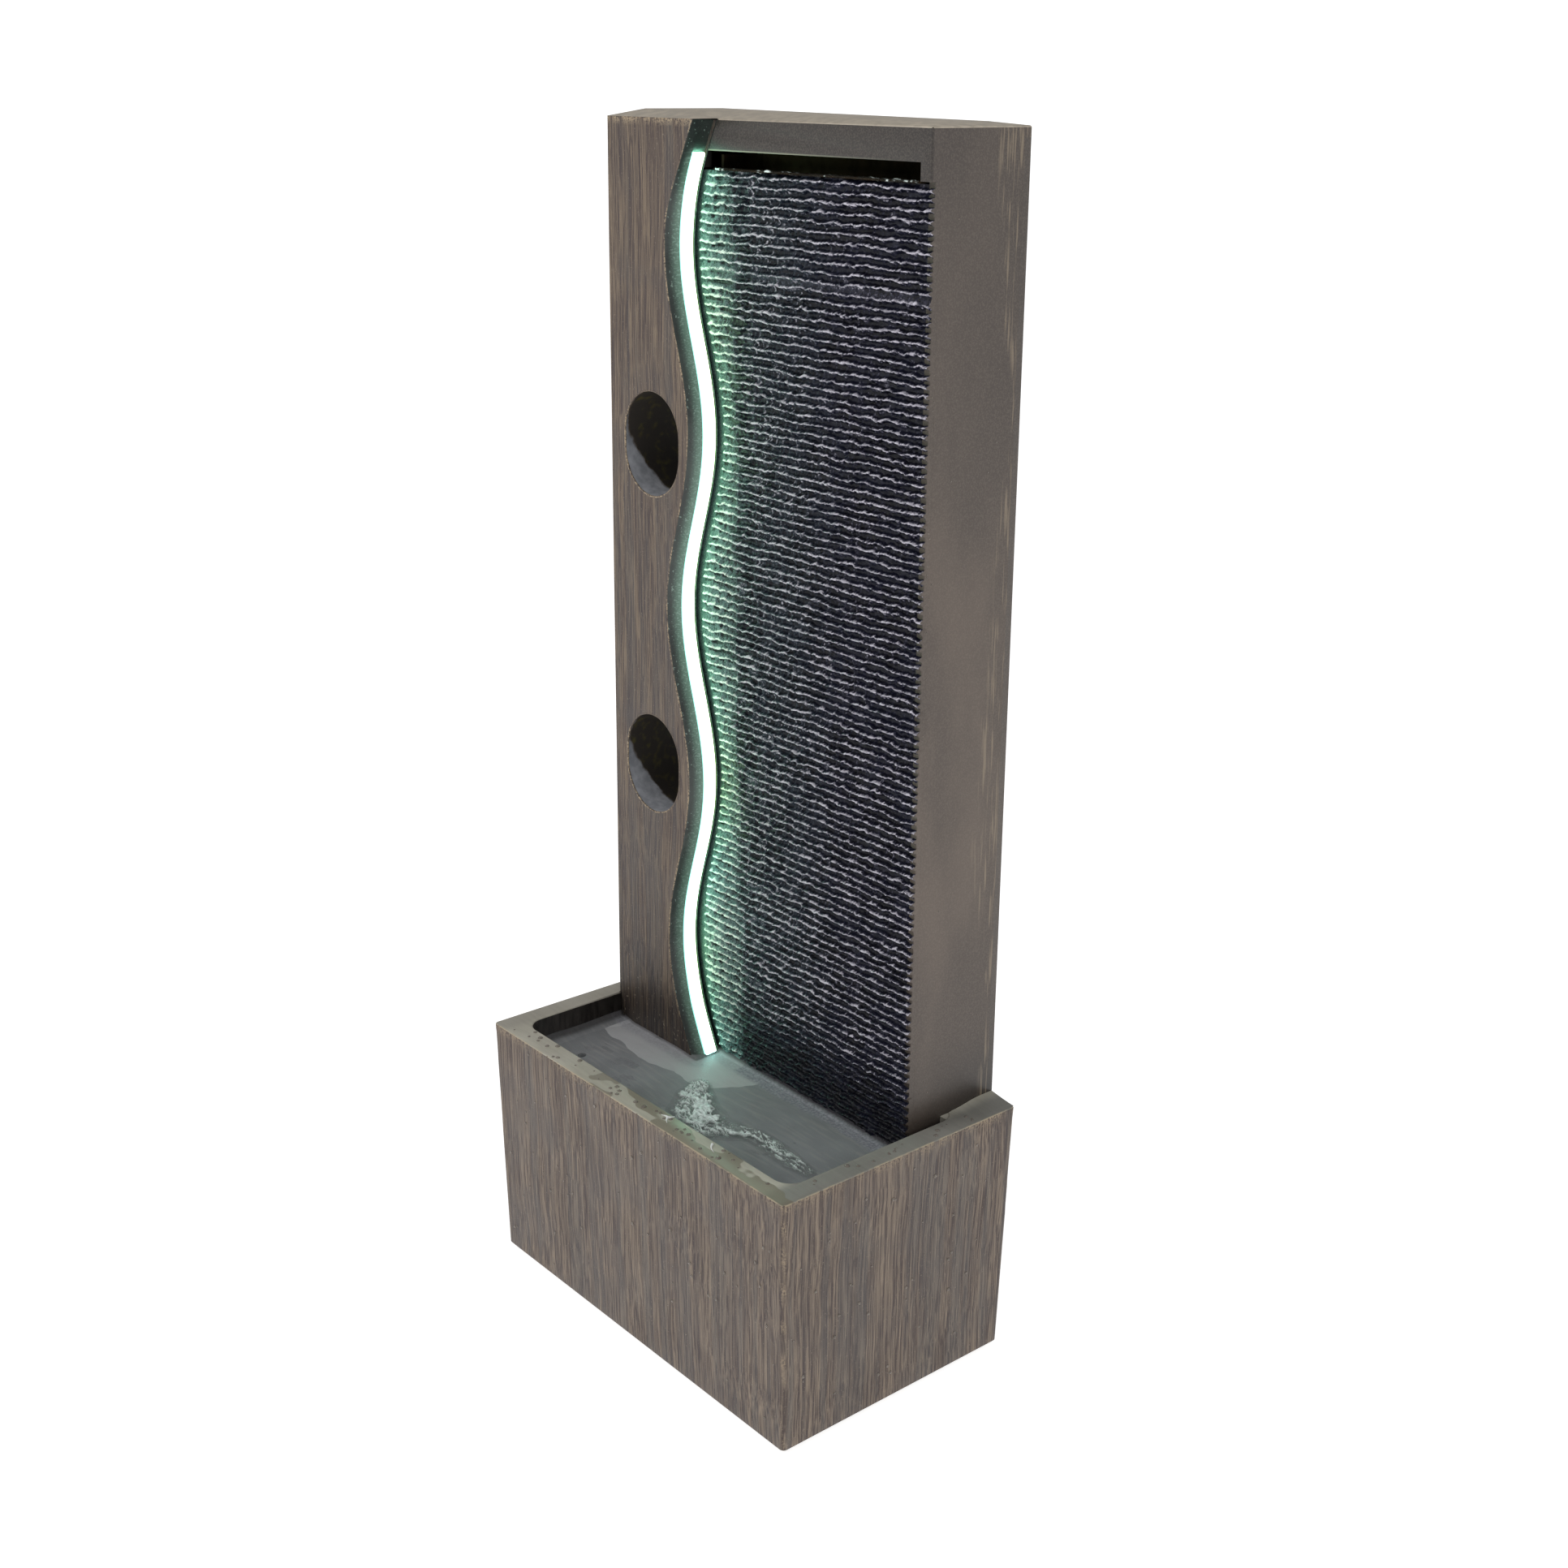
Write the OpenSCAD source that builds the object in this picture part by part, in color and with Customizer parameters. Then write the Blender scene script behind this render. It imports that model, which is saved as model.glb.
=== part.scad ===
// Garden fountain: a ribbed water wall with a lit wavy edge, standing in a catch basin.
// Millimetres. X runs along the front, the front faces -Y, and Z is up.
// The origin is at the middle of the footprint, on the ground.

/* [Overall] */
// Width across the rim of the basin
fountain_w = 395; // [380:1:430]
// Depth across the rim of the basin
fountain_d = 245; // [235:1:270]
// Height to the top of the crown
fountain_h = 990; // [940:1:1050]

/* [Basin] */
// Height of the rim above the ground
basin_h = 220; // [212:1:240]
// How far each end leans in at the ground
basin_lean_w = 4.5; // [2:0.5:7]
// How far the front and the back lean in at the ground
basin_lean_d = 6; // [3:0.5:7]
// Radius of the upright edges
basin_edge_r = 4; // [2:0.5:8]
// Worn chamfer round the foot
foot_chamfer = 4; // [2:0.5:6]
// Thickness of the walls at the ground
basin_wall = 9; // [7:0.5:10]
// Thickness of the floor
basin_floor = 9; // [7:0.5:12]
// Width of the rim at the two ends
rim_end_w = 20; // [17:0.5:24]
// Width of the rim along the front
rim_front_w = 21; // [18:0.5:25]
// Corner radius of the opening for the tray
rim_corner_r = 15; // [10:1:20]
// Depth of the tray floor below the rim
tray_depth = 25; // [20:1:30]
// Thickness of the tray
tray_t = 5; // [4:0.5:7]
// Radius of the drain hole in the tray
drain_r = 4; // [3:0.5:6]

/* [Tower] */
// From the left end of the rim to the left side of the tower
tower_inset_left = 17.5; // [14:0.5:19]
// From the right end of the rim to the right side of the tower
tower_inset_right = 27.5; // [25:0.5:34]
// From the face of the slab to the back of the tower
tower_d = 122.5; // [112:0.5:128]
// How far the ribbed wall lies behind the face of the slab
recess_depth = 25; // [23:0.5:30]
// Thickness of the tower's cast walls
tower_wall = 8; // [6:0.5:9]
// Height of the crown above the edge of the top
crown_h = 6; // [3:0.5:9]
// Width of the slope round the crown
crown_slope_w = 22; // [15:1:30]

/* [Wavy edge] */
// Mean width of the slab, from the tower's left side to the wave
slab_w = 97; // [95:0.5:104]
// Half the swing of the wave
wave_swing = 14.5; // [11:0.5:16]
// Length of one wave
wave_pitch = 293; // [280:1:310]
// Height of the wave's crest, where the slab is widest
wave_crest_z = 740; // [730:1:750]
// How far the top of the edge flares out
wave_flare = 8; // [4:0.5:12]

/* [Windows] */
// Width of each window
window_w = 73; // [66:1:76]
// Height of each window
window_h = 86; // [80:1:96]
// From the tower's left side to the middle of the upper window
window_upper_x = 56; // [53:0.5:57]
// Height of the middle of the upper window
window_upper_z = 727; // [715:1:740]
// From the tower's left side to the middle of the lower window
window_lower_x = 54; // [52:0.5:56]
// Height of the middle of the lower window
window_lower_z = 452; // [440:1:465]
// Wall of the sleeve that lines a window
sleeve_t = 4; // [3:0.5:4.5]

/* [Ribbed wall] */
// Height of one rib
rib_pitch = 7.1; // [6.5:0.1:9]
// Depth of the grooves between the ribs
rib_depth = 3.6; // [2.5:0.1:4.5]
// Thickness of the ribbed wall, ribs included
ribbed_t = 9; // [8:0.5:11]

/* [Spill slot] */
// From the crown down to the upper edge of the slot
slot_below_top = 30; // [28:0.5:36]
// Height of the slot
slot_h = 13; // [11:0.5:15]
// Width of the strip between the slot and the tower's right side
slot_end_w = 11; // [10:0.5:14]
// Depth of the header trough behind the slot
trough_depth = 28; // [24:1:34]
// Wall of the header trough
trough_t = 3; // [2.5:0.5:4]

/* [Light strip] */
// Width of the light strip, across the thickness of the slab
led_w = 13.5; // [11:0.5:14]
// How far the strip stands out of the edge
led_proud = 1; // [0.5:0.5:2]
// Depth of the groove that holds the strip
led_groove = 8; // [7.5:0.5:8.5]
// Distance between the light chips
led_spacing = 16.7; // [12:0.1:25]

/* [Pump] */
// Width of the pump
pump_w = 56; // [52:1:60]
// Height of the pump body
pump_h = 44; // [42:1:50]
// Length of the motor half of the pump
motor_len = 36; // [34:0.5:36.5]
// Bore radius of the riser hose
hose_bore_r = 6; // [5.5:0.25:7]
// Wall of the riser hose
hose_t = 2; // [1.5:0.25:2.5]
// Radius of the pump shaft
shaft_r = 1.5; // [1.25:0.05:2]
// Number of impeller vanes
vanes = 6; // [4:1:8]

/* [Access door] */
// Width of the door
door_w = 150; // [130:1:160]
// Height of the door
door_h = 90; // [80:1:92]
// Height of the door's lower edge
door_z = 90; // [84:1:92]
// Thickness of the door
door_t = 3; // [2.5:0.5:3.5]
// Radius of the hinge pin
hinge_pin_r = 1.6; // [1.4:0.1:1.8]

/* [Drain plug] */
// Radius of the plug's shank
plug_r = 8; // [6:0.5:9]
// From the tower's right side to the plug
plug_inset = 20; // [14:1:30]

/* [Hidden] */
$fn = 64;

// Clearances and overruns
over = 1;
sliver = 0.02;
fit = 0.3;
run_fit = 0.05;
plug_fit = 0.05;

// Places that the basin gives
half_w = fountain_w / 2;
half_d = fountain_d / 2;
seat_z = basin_h - tray_depth;
open_x = half_w - rim_end_w;
open_front_y = -half_d + rim_front_w;
wall_in_y = half_d - basin_lean_d - basin_wall;
wall_in_x = half_w - basin_lean_w - basin_wall;
ledge_w = 8;
ledge_t = 8;
ledge_z = seat_z - tray_t - ledge_t;
hump_len = 48;
hump_r = 12;
hump_y = half_d - hump_len;
drain_in_x = 40;
drain_in_y = 30.5;
return_r = 5;
return_y_in = 21;
return_shares = [0.12, 0.3, 0.8, 0.93];

// Places that the tower gives
x_left = -half_w + tower_inset_left;
x_right = half_w - tower_inset_right;
y_back = half_d;
y_slab = y_back - tower_d;
y_rib = y_slab + recess_depth;
panel_t = 6;
y_panel = y_back - panel_t;
edge_z = fountain_h - crown_h;
cavity_z = edge_z - tower_wall;
in_left = x_left + tower_wall;
in_right = x_right - tower_wall;
wave_steps = 72;
flare_len = 60;
step_wall = 12;

// Places round the slot and the ribbed wall
slot_top = fountain_h - slot_below_top;
slot_z = slot_top - slot_h;
slot_reach = 7;
slot_left = x_left + slab_w + slot_reach;
slot_right = x_right - slot_end_w;
lip_t = 1.5;
rib_top = slot_z - lip_t - fit;
foot_gap = 5;
rib_foot = seat_z + foot_gap;
rib_tuck = 7.5;
rib_left = x_left + slab_w - wave_swing - rib_tuck;
rib_crest_share = 0.28;
rib_flat_share = 0.12;
trough_left = slot_left + over;
trough_right = in_right - fit;
trough_y = y_rib + ribbed_t + fit;
trough_reach = 42;
trough_back_y = trough_y + trough_reach;
trough_z = slot_z - trough_depth;
trough_top = slot_top - trough_t;

// Light strip
led_y = y_rib - fit - over - led_w;
led_foot = seat_z + foot_gap;
led_top = slot_top + trough_t;
led_cap_len = 4;
led_lens_back = 5;
led_board_t = 1;
led_chip = 4;
led_chip_t = 0.9;
led_step = 0.25;
led_hole_r = 2.6;
led_hole_up = 15;
led_hole_z = led_foot + led_hole_up;

// Windows
window_upper = [x_left + window_upper_x, window_upper_z];
window_lower = [x_left + window_lower_x, window_lower_z];

// Junction box, leads and grommets
box_w = 60;
box_h = 70;
box_d = 24;
box_t = 2;
box_in = 22;
box_x = in_left + box_in;
box_up = 30;
box_z = seat_z + box_up;
box_y = y_panel - box_d;
board_t = 1.6;
lead_r = 2.5;
led_lead_r = 2;
lead_bend = 12;
supply_r = 3;
grommet_t = 2;
grommet_lip = 3;
supply_x = box_x + box_w / 2;
supply_up = 15;
supply_z = seat_z + supply_up;

// Back panel screws
screw_r = 1.6;
screw_head_r = 3.2;
screw_head_t = 2.5;
screw_bite = 12;
screw_shares = [0.04, 0.34, 0.66, 0.96];

// Pump
pump_off = 25;
hose_in = 20;
pump_x = (x_left + x_right) / 2 + pump_off;
pump_y = trough_y + hose_in;
cup_h = 7;
cup_r = 9;
cup_neck_r = 3;
cup_skirt = 1.4;
pump_z = basin_floor + cup_h + pump_h / 2;
volute_len = 18;
volute_front = pump_y - volute_len / 2;
motor_front = pump_y + volute_len / 2;
motor_back = motor_front + motor_len;
chamber_r = 16;
chamber_wall = 4;
chamber_back = motor_front - chamber_wall;
outlet_r = 5;
pump_shell = 2.5;
motor_cap_t = 3;
well_r = 7.6;
well_t = 1.4;
well_back = motor_back - motor_cap_t - pump_shell - well_t;
rotor_gap = 0.4;
rotor_r = well_r - rotor_gap;
disc_r = chamber_r - 2 * over;
disc_t = 2;
vane_len = 8.5;
vane_t = 1.5;
hub_r = 4;
bush_r = 3;
bush_len = 4;
end_bush_len = 1.5;
cover_t = 3;
strainer_len = 20;
strainer_t = 2;
inlet_r = 9;
spokes = 3;
spoke_t = 2;
slot_count = 7;
strainer_slot_w = 3;
strainer_slot_h = 28;
core_t = 10;
core_h = 32;
core_window_w = 6;
core_window_h = 22;
core_limb = 3.5;
coil_h = 16;
coil_t = 1.7;
core_half = pump_w / 2 - pump_shell - coil_t - fit;
limb_x = core_half - core_limb / 2;
dial_r = 7;
dial_t = 4;
dial_stem_r = 2.5;
dial_off = 14;
lead_pump_x = 16;
lead_in_share = 0.6;

// Riser hose and its fittings
hose_r = hose_bore_r + hose_t;
barb_r = hose_bore_r - run_fit * 2;
barb_bore_r = barb_r - hose_t;
nozzle_flange_r = 9;
nozzle_flange_t = 3;
nozzle_len = 28;
hose_z = pump_z + pump_h / 2 + nozzle_flange_t + fit;
fitting_len = 22;
fitting_flange_r = 10;
fitting_up = 12;
nut_t = 6;
nut_r = 11;
hose_top = trough_z - nozzle_flange_t - fit;
clamp_t = 1.6;
clamp_w = 9;
clamp_in = 8;
clamp_ear = 6;

// Access door
door_seat_w = 10;
door_seat_t = 4;
door_gap = 1;
door_seat_y = wall_in_y + door_seat_t;
gasket_t = 1.5;
gasket_w = 5;
door_y = door_seat_y + gasket_t;
door_face_y = door_y + door_t;
barrel_t = 1.4;
barrel_r = hinge_pin_r + barrel_t;
hinge_x = -door_w / 2 - door_gap;
hinge_y = door_face_y;
recess_side = 1.5;
pin_bite = 7;
magnet_r = 2;
magnet_t = 2.5;
striker_t = 1.2;
catch_up_share = 0.25;
pull_w = 4;
pull_h = 24;
pull_t = 2.2;

// Drain plug
plug_x = x_right - plug_inset;
plug_floor_gap = 5;
plug_z = basin_floor + plug_floor_gap + plug_r;
plug_lip = 4;
plug_head_r = plug_r + plug_lip;
plug_head_t = 2.6;
plug_wall = 6.5;
plug_face_y = wall_in_y + plug_wall;
plug_tip = 3;

// Edge of the slab at a height, which swings in a steady wave and flares at the top
function wave_x(z) = x_left + slab_w + wave_swing * cos(360 * (z - wave_crest_z) / wave_pitch)
    + wave_flare * pow(max(0, (z - edge_z + flare_len) / flare_len), 2);
function wave_line(z0, z1, dx) =
    [for (i = [0:wave_steps]) let (z = z0 + (z1 - z0) * i / wave_steps) [wave_x(z) + dx, z]];
function backwards(list) = [for (i = [len(list) - 1:-1:0]) list[i]];
function wave_slope(z) = (wave_x(z + led_step) - wave_x(z - led_step)) / (2 * led_step);

// Routes of the inner leads, as smooth curves through a few points
function mix(a, b, t) = a + (b - a) * t;
function curve_point(p0, p1, p2, p3, t) = (2 * p1 + (p2 - p0) * t
    + (2 * p0 - 5 * p1 + 4 * p2 - p3) * t * t + (3 * p1 - p0 - 3 * p2 + p3) * t * t * t) / 2;
function smooth(route, k) = concat([for (i = [0:len(route) - 2]) for (j = [0:k - 1])
    curve_point(route[max(i - 1, 0)], route[i], route[i + 1],
        route[min(i + 2, len(route) - 1)], j / k)], [route[len(route) - 1]]);
function unit(v) = v / norm(v);
function tangents(path) = [for (i = [0:len(path) - 1])
    unit(path[min(i + 1, len(path) - 1)] - path[max(i - 1, 0)])];
function carried(side, tangent) = unit(side - tangent * (side * tangent));
function sides(tans, first) = [for (i = 0, s = carried(first, tans[0]); i < len(tans);
    i = i + 1, s = i < len(tans) ? carried(s, tans[i]) : s) s];

// Box between two corners
module span(lo, hi) {
    translate(lo) cube(hi - lo);
}

// Box between two corners with round upright edges
module round_span(lo, hi, r) {
    size = hi - lo;
    translate(lo) linear_extrude(height = size[2]) {
        translate([r, 0]) square([size[0] - 2 * r, size[1]]);
        translate([0, r]) square([size[0], size[1] - 2 * r]);
        for (x = [r, size[0] - r], y = [r, size[1] - r]) translate([x, y]) circle(r);
    }
}

// Cylinders along each axis, from a start point over a length
module rod_x(at, r, len) {
    translate(at) rotate([0, 90, 0]) cylinder(r = r, h = len);
}
module rod_y(at, r, len) {
    translate(at) rotate([-90, 0, 0]) cylinder(r = r, h = len);
}
module rod_z(at, r, len) {
    translate(at) cylinder(r = r, h = len);
}

// Plane shape in X and Z, given a thickness from one Y to another
module upright(y0, y1) {
    translate([0, y1, 0]) rotate([90, 0, 0]) linear_extrude(height = y1 - y0) children();
}

// Window outline: two half rounds with a short straight between them
module window_shape(middle, grow) {
    r = window_w / 2 + grow;
    rise = (window_h - window_w) / 2;
    translate(middle) {
        for (side = [-rise, rise]) translate([0, side]) circle(r);
        translate([-r, -rise]) square([2 * r, 2 * rise]);
    }
}

// Band that follows the wave between two distances from it
module wave_band(z0, z1, dx0, dx1) {
    polygon(concat(wave_line(z0, z1, dx0), backwards(wave_line(z0, z1, dx1))));
}

// Round lead along a smooth route
module lead(path, r, first) {
    tans = tangents(path);
    side = sides(tans, first);
    n = 8;
    rings = [for (i = [0:len(path) - 1]) for (k = [0:n - 1])
        path[i] + r * (cos(360 * k / n) * side[i] + sin(360 * k / n) * cross(tans[i], side[i]))];
    walls = [for (i = [0:len(path) - 2]) for (k = [0:n - 1])
        [i * n + k, (i + 1) * n + k, (i + 1) * n + (k + 1) % n, i * n + (k + 1) % n]];
    ends = [[for (k = [0:n - 1]) k], [for (k = [n - 1:-1:0]) (len(path) - 1) * n + k]];
    polyhedron(rings, concat(walls, ends));
}

// Leaning body of the basin with a chamfered foot
module basin_block() {
    hull() {
        basin_layer(0, foot_chamfer);
        basin_layer(foot_chamfer, 0);
        basin_layer(basin_h - sliver, 0);
    }
}
module basin_layer(z, inset) {
    lean = max(0, 1 - z / basin_h);
    x = half_w - basin_lean_w * lean - inset;
    y = half_d - basin_lean_d * lean - inset;
    round_span([-x, -y, z], [x, y, z + sliver], basin_edge_r, $fn = 32);
}

// Concave fillet that runs from the rim up to the tower's right side
module rim_hump() {
    x = x_right + fit;
    difference() {
        span([x, hump_y, basin_h - over], [x + hump_r, half_d, basin_h + hump_r]);
        rod_y([x + hump_r, hump_y - over, basin_h + hump_r], hump_r, hump_len + 2 * over);
    }
}

module basin_shell() color("#70665f") difference() {
    union() {
        basin_block();
        rim_hump();
    }
    round_span([-open_x, open_front_y, seat_z], [open_x, hump_y, basin_h + over], rim_corner_r);
    span([x_left - fit, y_slab - fit, seat_z], [x_right + fit, y_back + over, basin_h + over]);
    round_span([-open_x, open_front_y, seat_z - tray_t], [open_x, wall_in_y, seat_z + sliver],
        rim_corner_r);
    span([-open_x + ledge_w, open_front_y + ledge_w, ledge_z - sliver],
        [open_x - ledge_w, wall_in_y - ledge_w, seat_z - tray_t + sliver]);
    span([-wall_in_x, -wall_in_y, basin_floor], [wall_in_x, wall_in_y, ledge_z]);
    door_opening();
    rod_z([hinge_x, hinge_y, door_z - door_gap - pin_bite], hinge_pin_r + run_fit,
        door_h + 2 * (door_gap + pin_bite));
    for (z = catch_heights) rod_y([catch_x, door_seat_y - magnet_t, z], magnet_r + run_fit,
        magnet_t + over);
    rod_y([plug_x, wall_in_y - over, plug_z], plug_r, half_d);
    rod_y([plug_x, plug_face_y, plug_z], plug_head_r + over, half_d);
}

// Opening for the door, with the seat that its gasket meets
catch_x = door_w / 2 - (door_seat_w - gasket_w) / 2;
catch_heights = [door_z + door_h * catch_up_share, door_z + door_h * (1 - catch_up_share)];
module door_opening() {
    span([-door_w / 2 + door_seat_w, wall_in_y - over, door_z + door_seat_w],
        [door_w / 2 - door_seat_w, half_d + over, door_z + door_h - door_seat_w]);
    span([hinge_x - barrel_r - recess_side, door_seat_y, door_z - door_gap],
        [door_w / 2 + door_gap, half_d + over, door_z + door_h + door_gap]);
}

module catch_tray() color("#5f625f") difference() {
    round_span([-open_x + fit, open_front_y + fit, seat_z - tray_t],
        [open_x - fit, wall_in_y - fit, seat_z], rim_corner_r - fit);
    rod_z([-open_x + drain_in_x, open_front_y + drain_in_y, seat_z - tray_t - over], drain_r,
        tray_t + 2 * over);
    for (share = return_shares) rod_z([mix(in_left, in_right, share), y_rib + ribbed_t
        + return_y_in, seat_z - tray_t - over], return_r, tray_t + 2 * over);
    rod_z([pump_x, pump_y, seat_z - tray_t - over], hose_r + fit, tray_t + 2 * over);
    rod_z([tray_lead_x, pump_y, seat_z - tray_t - over], lead_r + fit + grommet_t,
        tray_t + 2 * over);
}

// Outline of the slab in front view, from a foot height to a top height
module slab_outline(z0, z1, left, inset) {
    polygon(concat([[left, z0]], wave_line(z0, z1, -inset), [[left, z1]]));
}

// Low pyramid that gives the top its crown
module crown(x0, x1, y0) {
    hull() {
        span([x0, y0, edge_z - sliver], [x1, y_back, edge_z]);
        span([x0 + crown_slope_w, y0 + crown_slope_w, fountain_h - sliver],
            [x1 - crown_slope_w, y_back - crown_slope_w, fountain_h]);
    }
}

module tower_shell() color("#6a615b") difference() {
    union() {
        upright(y_slab, y_rib + sliver) slab_outline(seat_z, edge_z, x_left, 0);
        span([x_left, y_rib, seat_z], [x_right, y_panel, edge_z]);
        span([x_left, y_panel - over, cavity_z], [x_right, y_back, edge_z]);
        crown(x_left, wave_x(edge_z), y_slab);
        crown(x_left, x_right, y_rib);
    }
    upright(y_slab + tower_wall, y_rib - fit)
        slab_outline(seat_z - over, cavity_z, in_left, step_wall);
    span([in_left, y_rib - fit - over, seat_z - over],
        [rib_left - fit, y_rib + tower_wall + over, cavity_z]);
    span([in_left, y_rib + tower_wall, seat_z - over], [in_right, y_panel + over, cavity_z]);
    span([rib_left - fit, y_rib - fit, seat_z - over],
        [x_right + over, y_rib + ribbed_t, slot_z]);
    span([slot_left, y_rib - over, slot_z - over], [slot_right, y_rib + tower_wall + over,
        slot_top]);
    upright(led_y - fit, led_y + led_w + fit)
        wave_band(led_foot - fit, led_top + fit, -led_groove, 4 * led_groove);
    rod_x([in_left, led_y + led_w / 2, led_hole_z], led_hole_r, slab_w);
    for (middle = [window_upper, window_lower])
        upright(y_slab - over, y_rib) window_shape(middle, 0);
    screw_places() rod_y([0, y_panel - screw_bite, 0], screw_r + run_fit, screw_bite + over);
}

// Places of the screws that hold the back panel to the side walls
module screw_places() {
    for (x = [x_left + tower_wall / 2, x_right - tower_wall / 2], share = screw_shares)
        translate([x, 0, mix(seat_z, cavity_z, share)]) children();
}

module back_panel() color("#57504b") difference() {
    span([x_left, y_panel, seat_z], [x_right, y_back, cavity_z]);
    for (middle = [window_upper, window_lower])
        upright(y_panel - over, y_back + over) window_shape(middle, sleeve_t + fit);
    screw_places() {
        rod_y([0, y_panel - over, 0], screw_r + run_fit, panel_t + 2 * over);
        rod_y([0, y_back - screw_head_t, 0], screw_head_r + fit, screw_head_t + over);
    }
    rod_y([supply_x, y_panel - over, supply_z], supply_r + grommet_t + run_fit,
        panel_t + 2 * over);
    rod_y([supply_x, y_back - grommet_t, supply_z], supply_r + grommet_t + grommet_lip + fit,
        grommet_t + over);
}

module panel_screws() color("#9a9a98") screw_places() {
    rod_y([0, y_panel - screw_bite + fit, 0], screw_r, screw_bite + panel_t - screw_head_t);
    rod_y([0, y_back - screw_head_t, 0], screw_head_r, screw_head_t - fit);
}

// Ribs in side view: a sharp wet crest over a wide dark groove, one above the other
module ribbed_wall() color("#2b2d33") {
    count = floor((rib_top - rib_foot) / rib_pitch);
    pitch = (rib_top - rib_foot) / count;
    crests = [for (i = [0:count - 1]) for (p = [
        [y_rib + rib_depth, rib_foot + i * pitch],
        [y_rib + rib_depth, rib_foot + (i + rib_flat_share) * pitch],
        [y_rib, rib_foot + (i + 1 - rib_crest_share) * pitch]]) p];
    outline = concat(crests, [[y_rib + rib_depth, rib_top], [y_rib + ribbed_t, rib_top],
        [y_rib + ribbed_t, rib_foot]]);
    difference() {
        translate([rib_left, 0, 0]) rotate([90, 0, 90])
            linear_extrude(height = x_right - rib_left) polygon(outline);
        for (middle = [window_upper, window_lower])
            upright(y_rib - over, y_rib + ribbed_t + over)
                window_shape(middle, sleeve_t + fit);
    }
}

module window_sleeve(middle) {
    upright(y_slab + tower_wall, y_back) difference() {
        window_shape(middle, sleeve_t);
        window_shape(middle, 0);
    }
}
module window_sleeve_upper() color("#3a3734") window_sleeve(window_upper);
module window_sleeve_lower() color("#3a3734") window_sleeve(window_lower);

module spill_trough() color("#26282a") difference() {
    union() {
        span([trough_left, trough_y, trough_z], [trough_right, trough_back_y, trough_top]);
        span([trough_left, y_rib + over, slot_z - lip_t],
            [slot_right - fit, trough_y + trough_t, slot_z]);
    }
    span([trough_left + trough_t, trough_y + trough_t, trough_z + trough_t],
        [trough_right - trough_t, trough_back_y - trough_t, trough_top + over]);
    span([trough_left + trough_t, trough_y - over, slot_z],
        [slot_right - fit - trough_t, trough_y + trough_t + over, trough_top + over]);
    rod_z([pump_x, pump_y, trough_z - over], barb_r + fit, trough_t + 2 * over);
}

module inlet_fitting() color("#2e2e2e") difference() {
    union() {
        rod_z([pump_x, pump_y, trough_z - fitting_len], barb_r, fitting_len + fitting_up);
        rod_z([pump_x, pump_y, trough_z - nozzle_flange_t], fitting_flange_r, nozzle_flange_t);
    }
    rod_z([pump_x, pump_y, trough_z - fitting_len - over], barb_bore_r,
        fitting_len + fitting_up + 2 * over);
}

module inlet_nut() color("#2e2e2e") difference() {
    translate([pump_x, pump_y, trough_z + trough_t]) cylinder(r = nut_r, h = nut_t, $fn = 6);
    rod_z([pump_x, pump_y, trough_z + trough_t - over], barb_r + run_fit, nut_t + 2 * over);
}

module led_diffuser() color("#eafff6") upright(led_y, led_y + led_w)
    wave_band(led_foot + led_cap_len + fit, led_top - led_cap_len - fit, -led_lens_back,
        led_proud);

module led_end_caps() color("#d8e6e0") upright(led_y, led_y + led_w) {
    wave_band(led_foot, led_foot + led_cap_len, fit - led_groove, led_proud);
    wave_band(led_top - led_cap_len, led_top, fit - led_groove, led_proud);
}

module led_board() color("#f2f2ea") upright(led_y + over, led_y + led_w - over)
    wave_band(led_foot + led_cap_len + fit, led_top - led_cap_len - fit, fit - led_groove,
        fit - led_groove + led_board_t);

module led_chips() color("#f7e9a0") {
    first = led_foot + led_cap_len + led_spacing / 2;
    last = led_top - led_cap_len - led_spacing / 2;
    middle = (fit - led_groove + led_board_t - led_lens_back) / 2;
    for (z = [first:led_spacing:last])
        translate([wave_x(z) + middle, led_y + led_w / 2, z])
            rotate([0, atan(wave_slope(z)), 0])
                cube([led_chip_t, led_chip, led_chip], center = true);
}

module led_lead() color("#f0f0f0") {
    y0 = box_y + box_d / 2;
    y1 = led_y + led_w / 2;
    route = [[supply_x - lead_bend, y0, box_z],
        [supply_x - lead_bend, y0, box_z - lead_bend],
        [supply_x - lead_bend, y0 - lead_bend, led_hole_z],
        [supply_x - lead_bend, mix(y0, y1, 0.5), led_hole_z],
        [supply_x - lead_bend, y1 + lead_bend, led_hole_z],
        [supply_x, y1, led_hole_z],
        [rib_left, y1, led_hole_z],
        [wave_x(led_hole_z) - led_groove + fit, y1, led_hole_z]];
    lead(smooth(route, 3), led_lead_r, [1, 0, 0]);
}

module junction_box() color("#303234") difference() {
    span([box_x, box_y, box_z], [box_x + box_w, y_panel, box_z + box_h]);
    span([box_x + box_t, box_y - over, box_z + box_t],
        [box_x + box_w - box_t, y_panel - box_t, box_z + box_h - box_t]);
}

module junction_lid() color("#3a3c3e") {
    span([box_x, box_y - box_t, box_z], [box_x + box_w, box_y, box_z + box_h]);
    span([box_x + box_t + fit, box_y - sliver, box_z + box_t + fit],
        [box_x + 2 * box_t, box_y + box_t, box_z + box_h - box_t - fit]);
}

module driver_board() color("#2f6b3f") {
    y = y_panel - box_t - board_t - fit;
    span([box_x + 2 * box_t, y, box_z + 2 * box_t],
        [box_x + box_w - 2 * box_t, y + board_t, box_z + box_h - 2 * box_t]);
    span([mix(box_x, box_x + box_w, 0.35), y - lead_bend, mix(box_z, box_z + box_h, 0.4)],
        [mix(box_x, box_x + box_w, 0.65), y + sliver, mix(box_z, box_z + box_h, 0.7)]);
}

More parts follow.
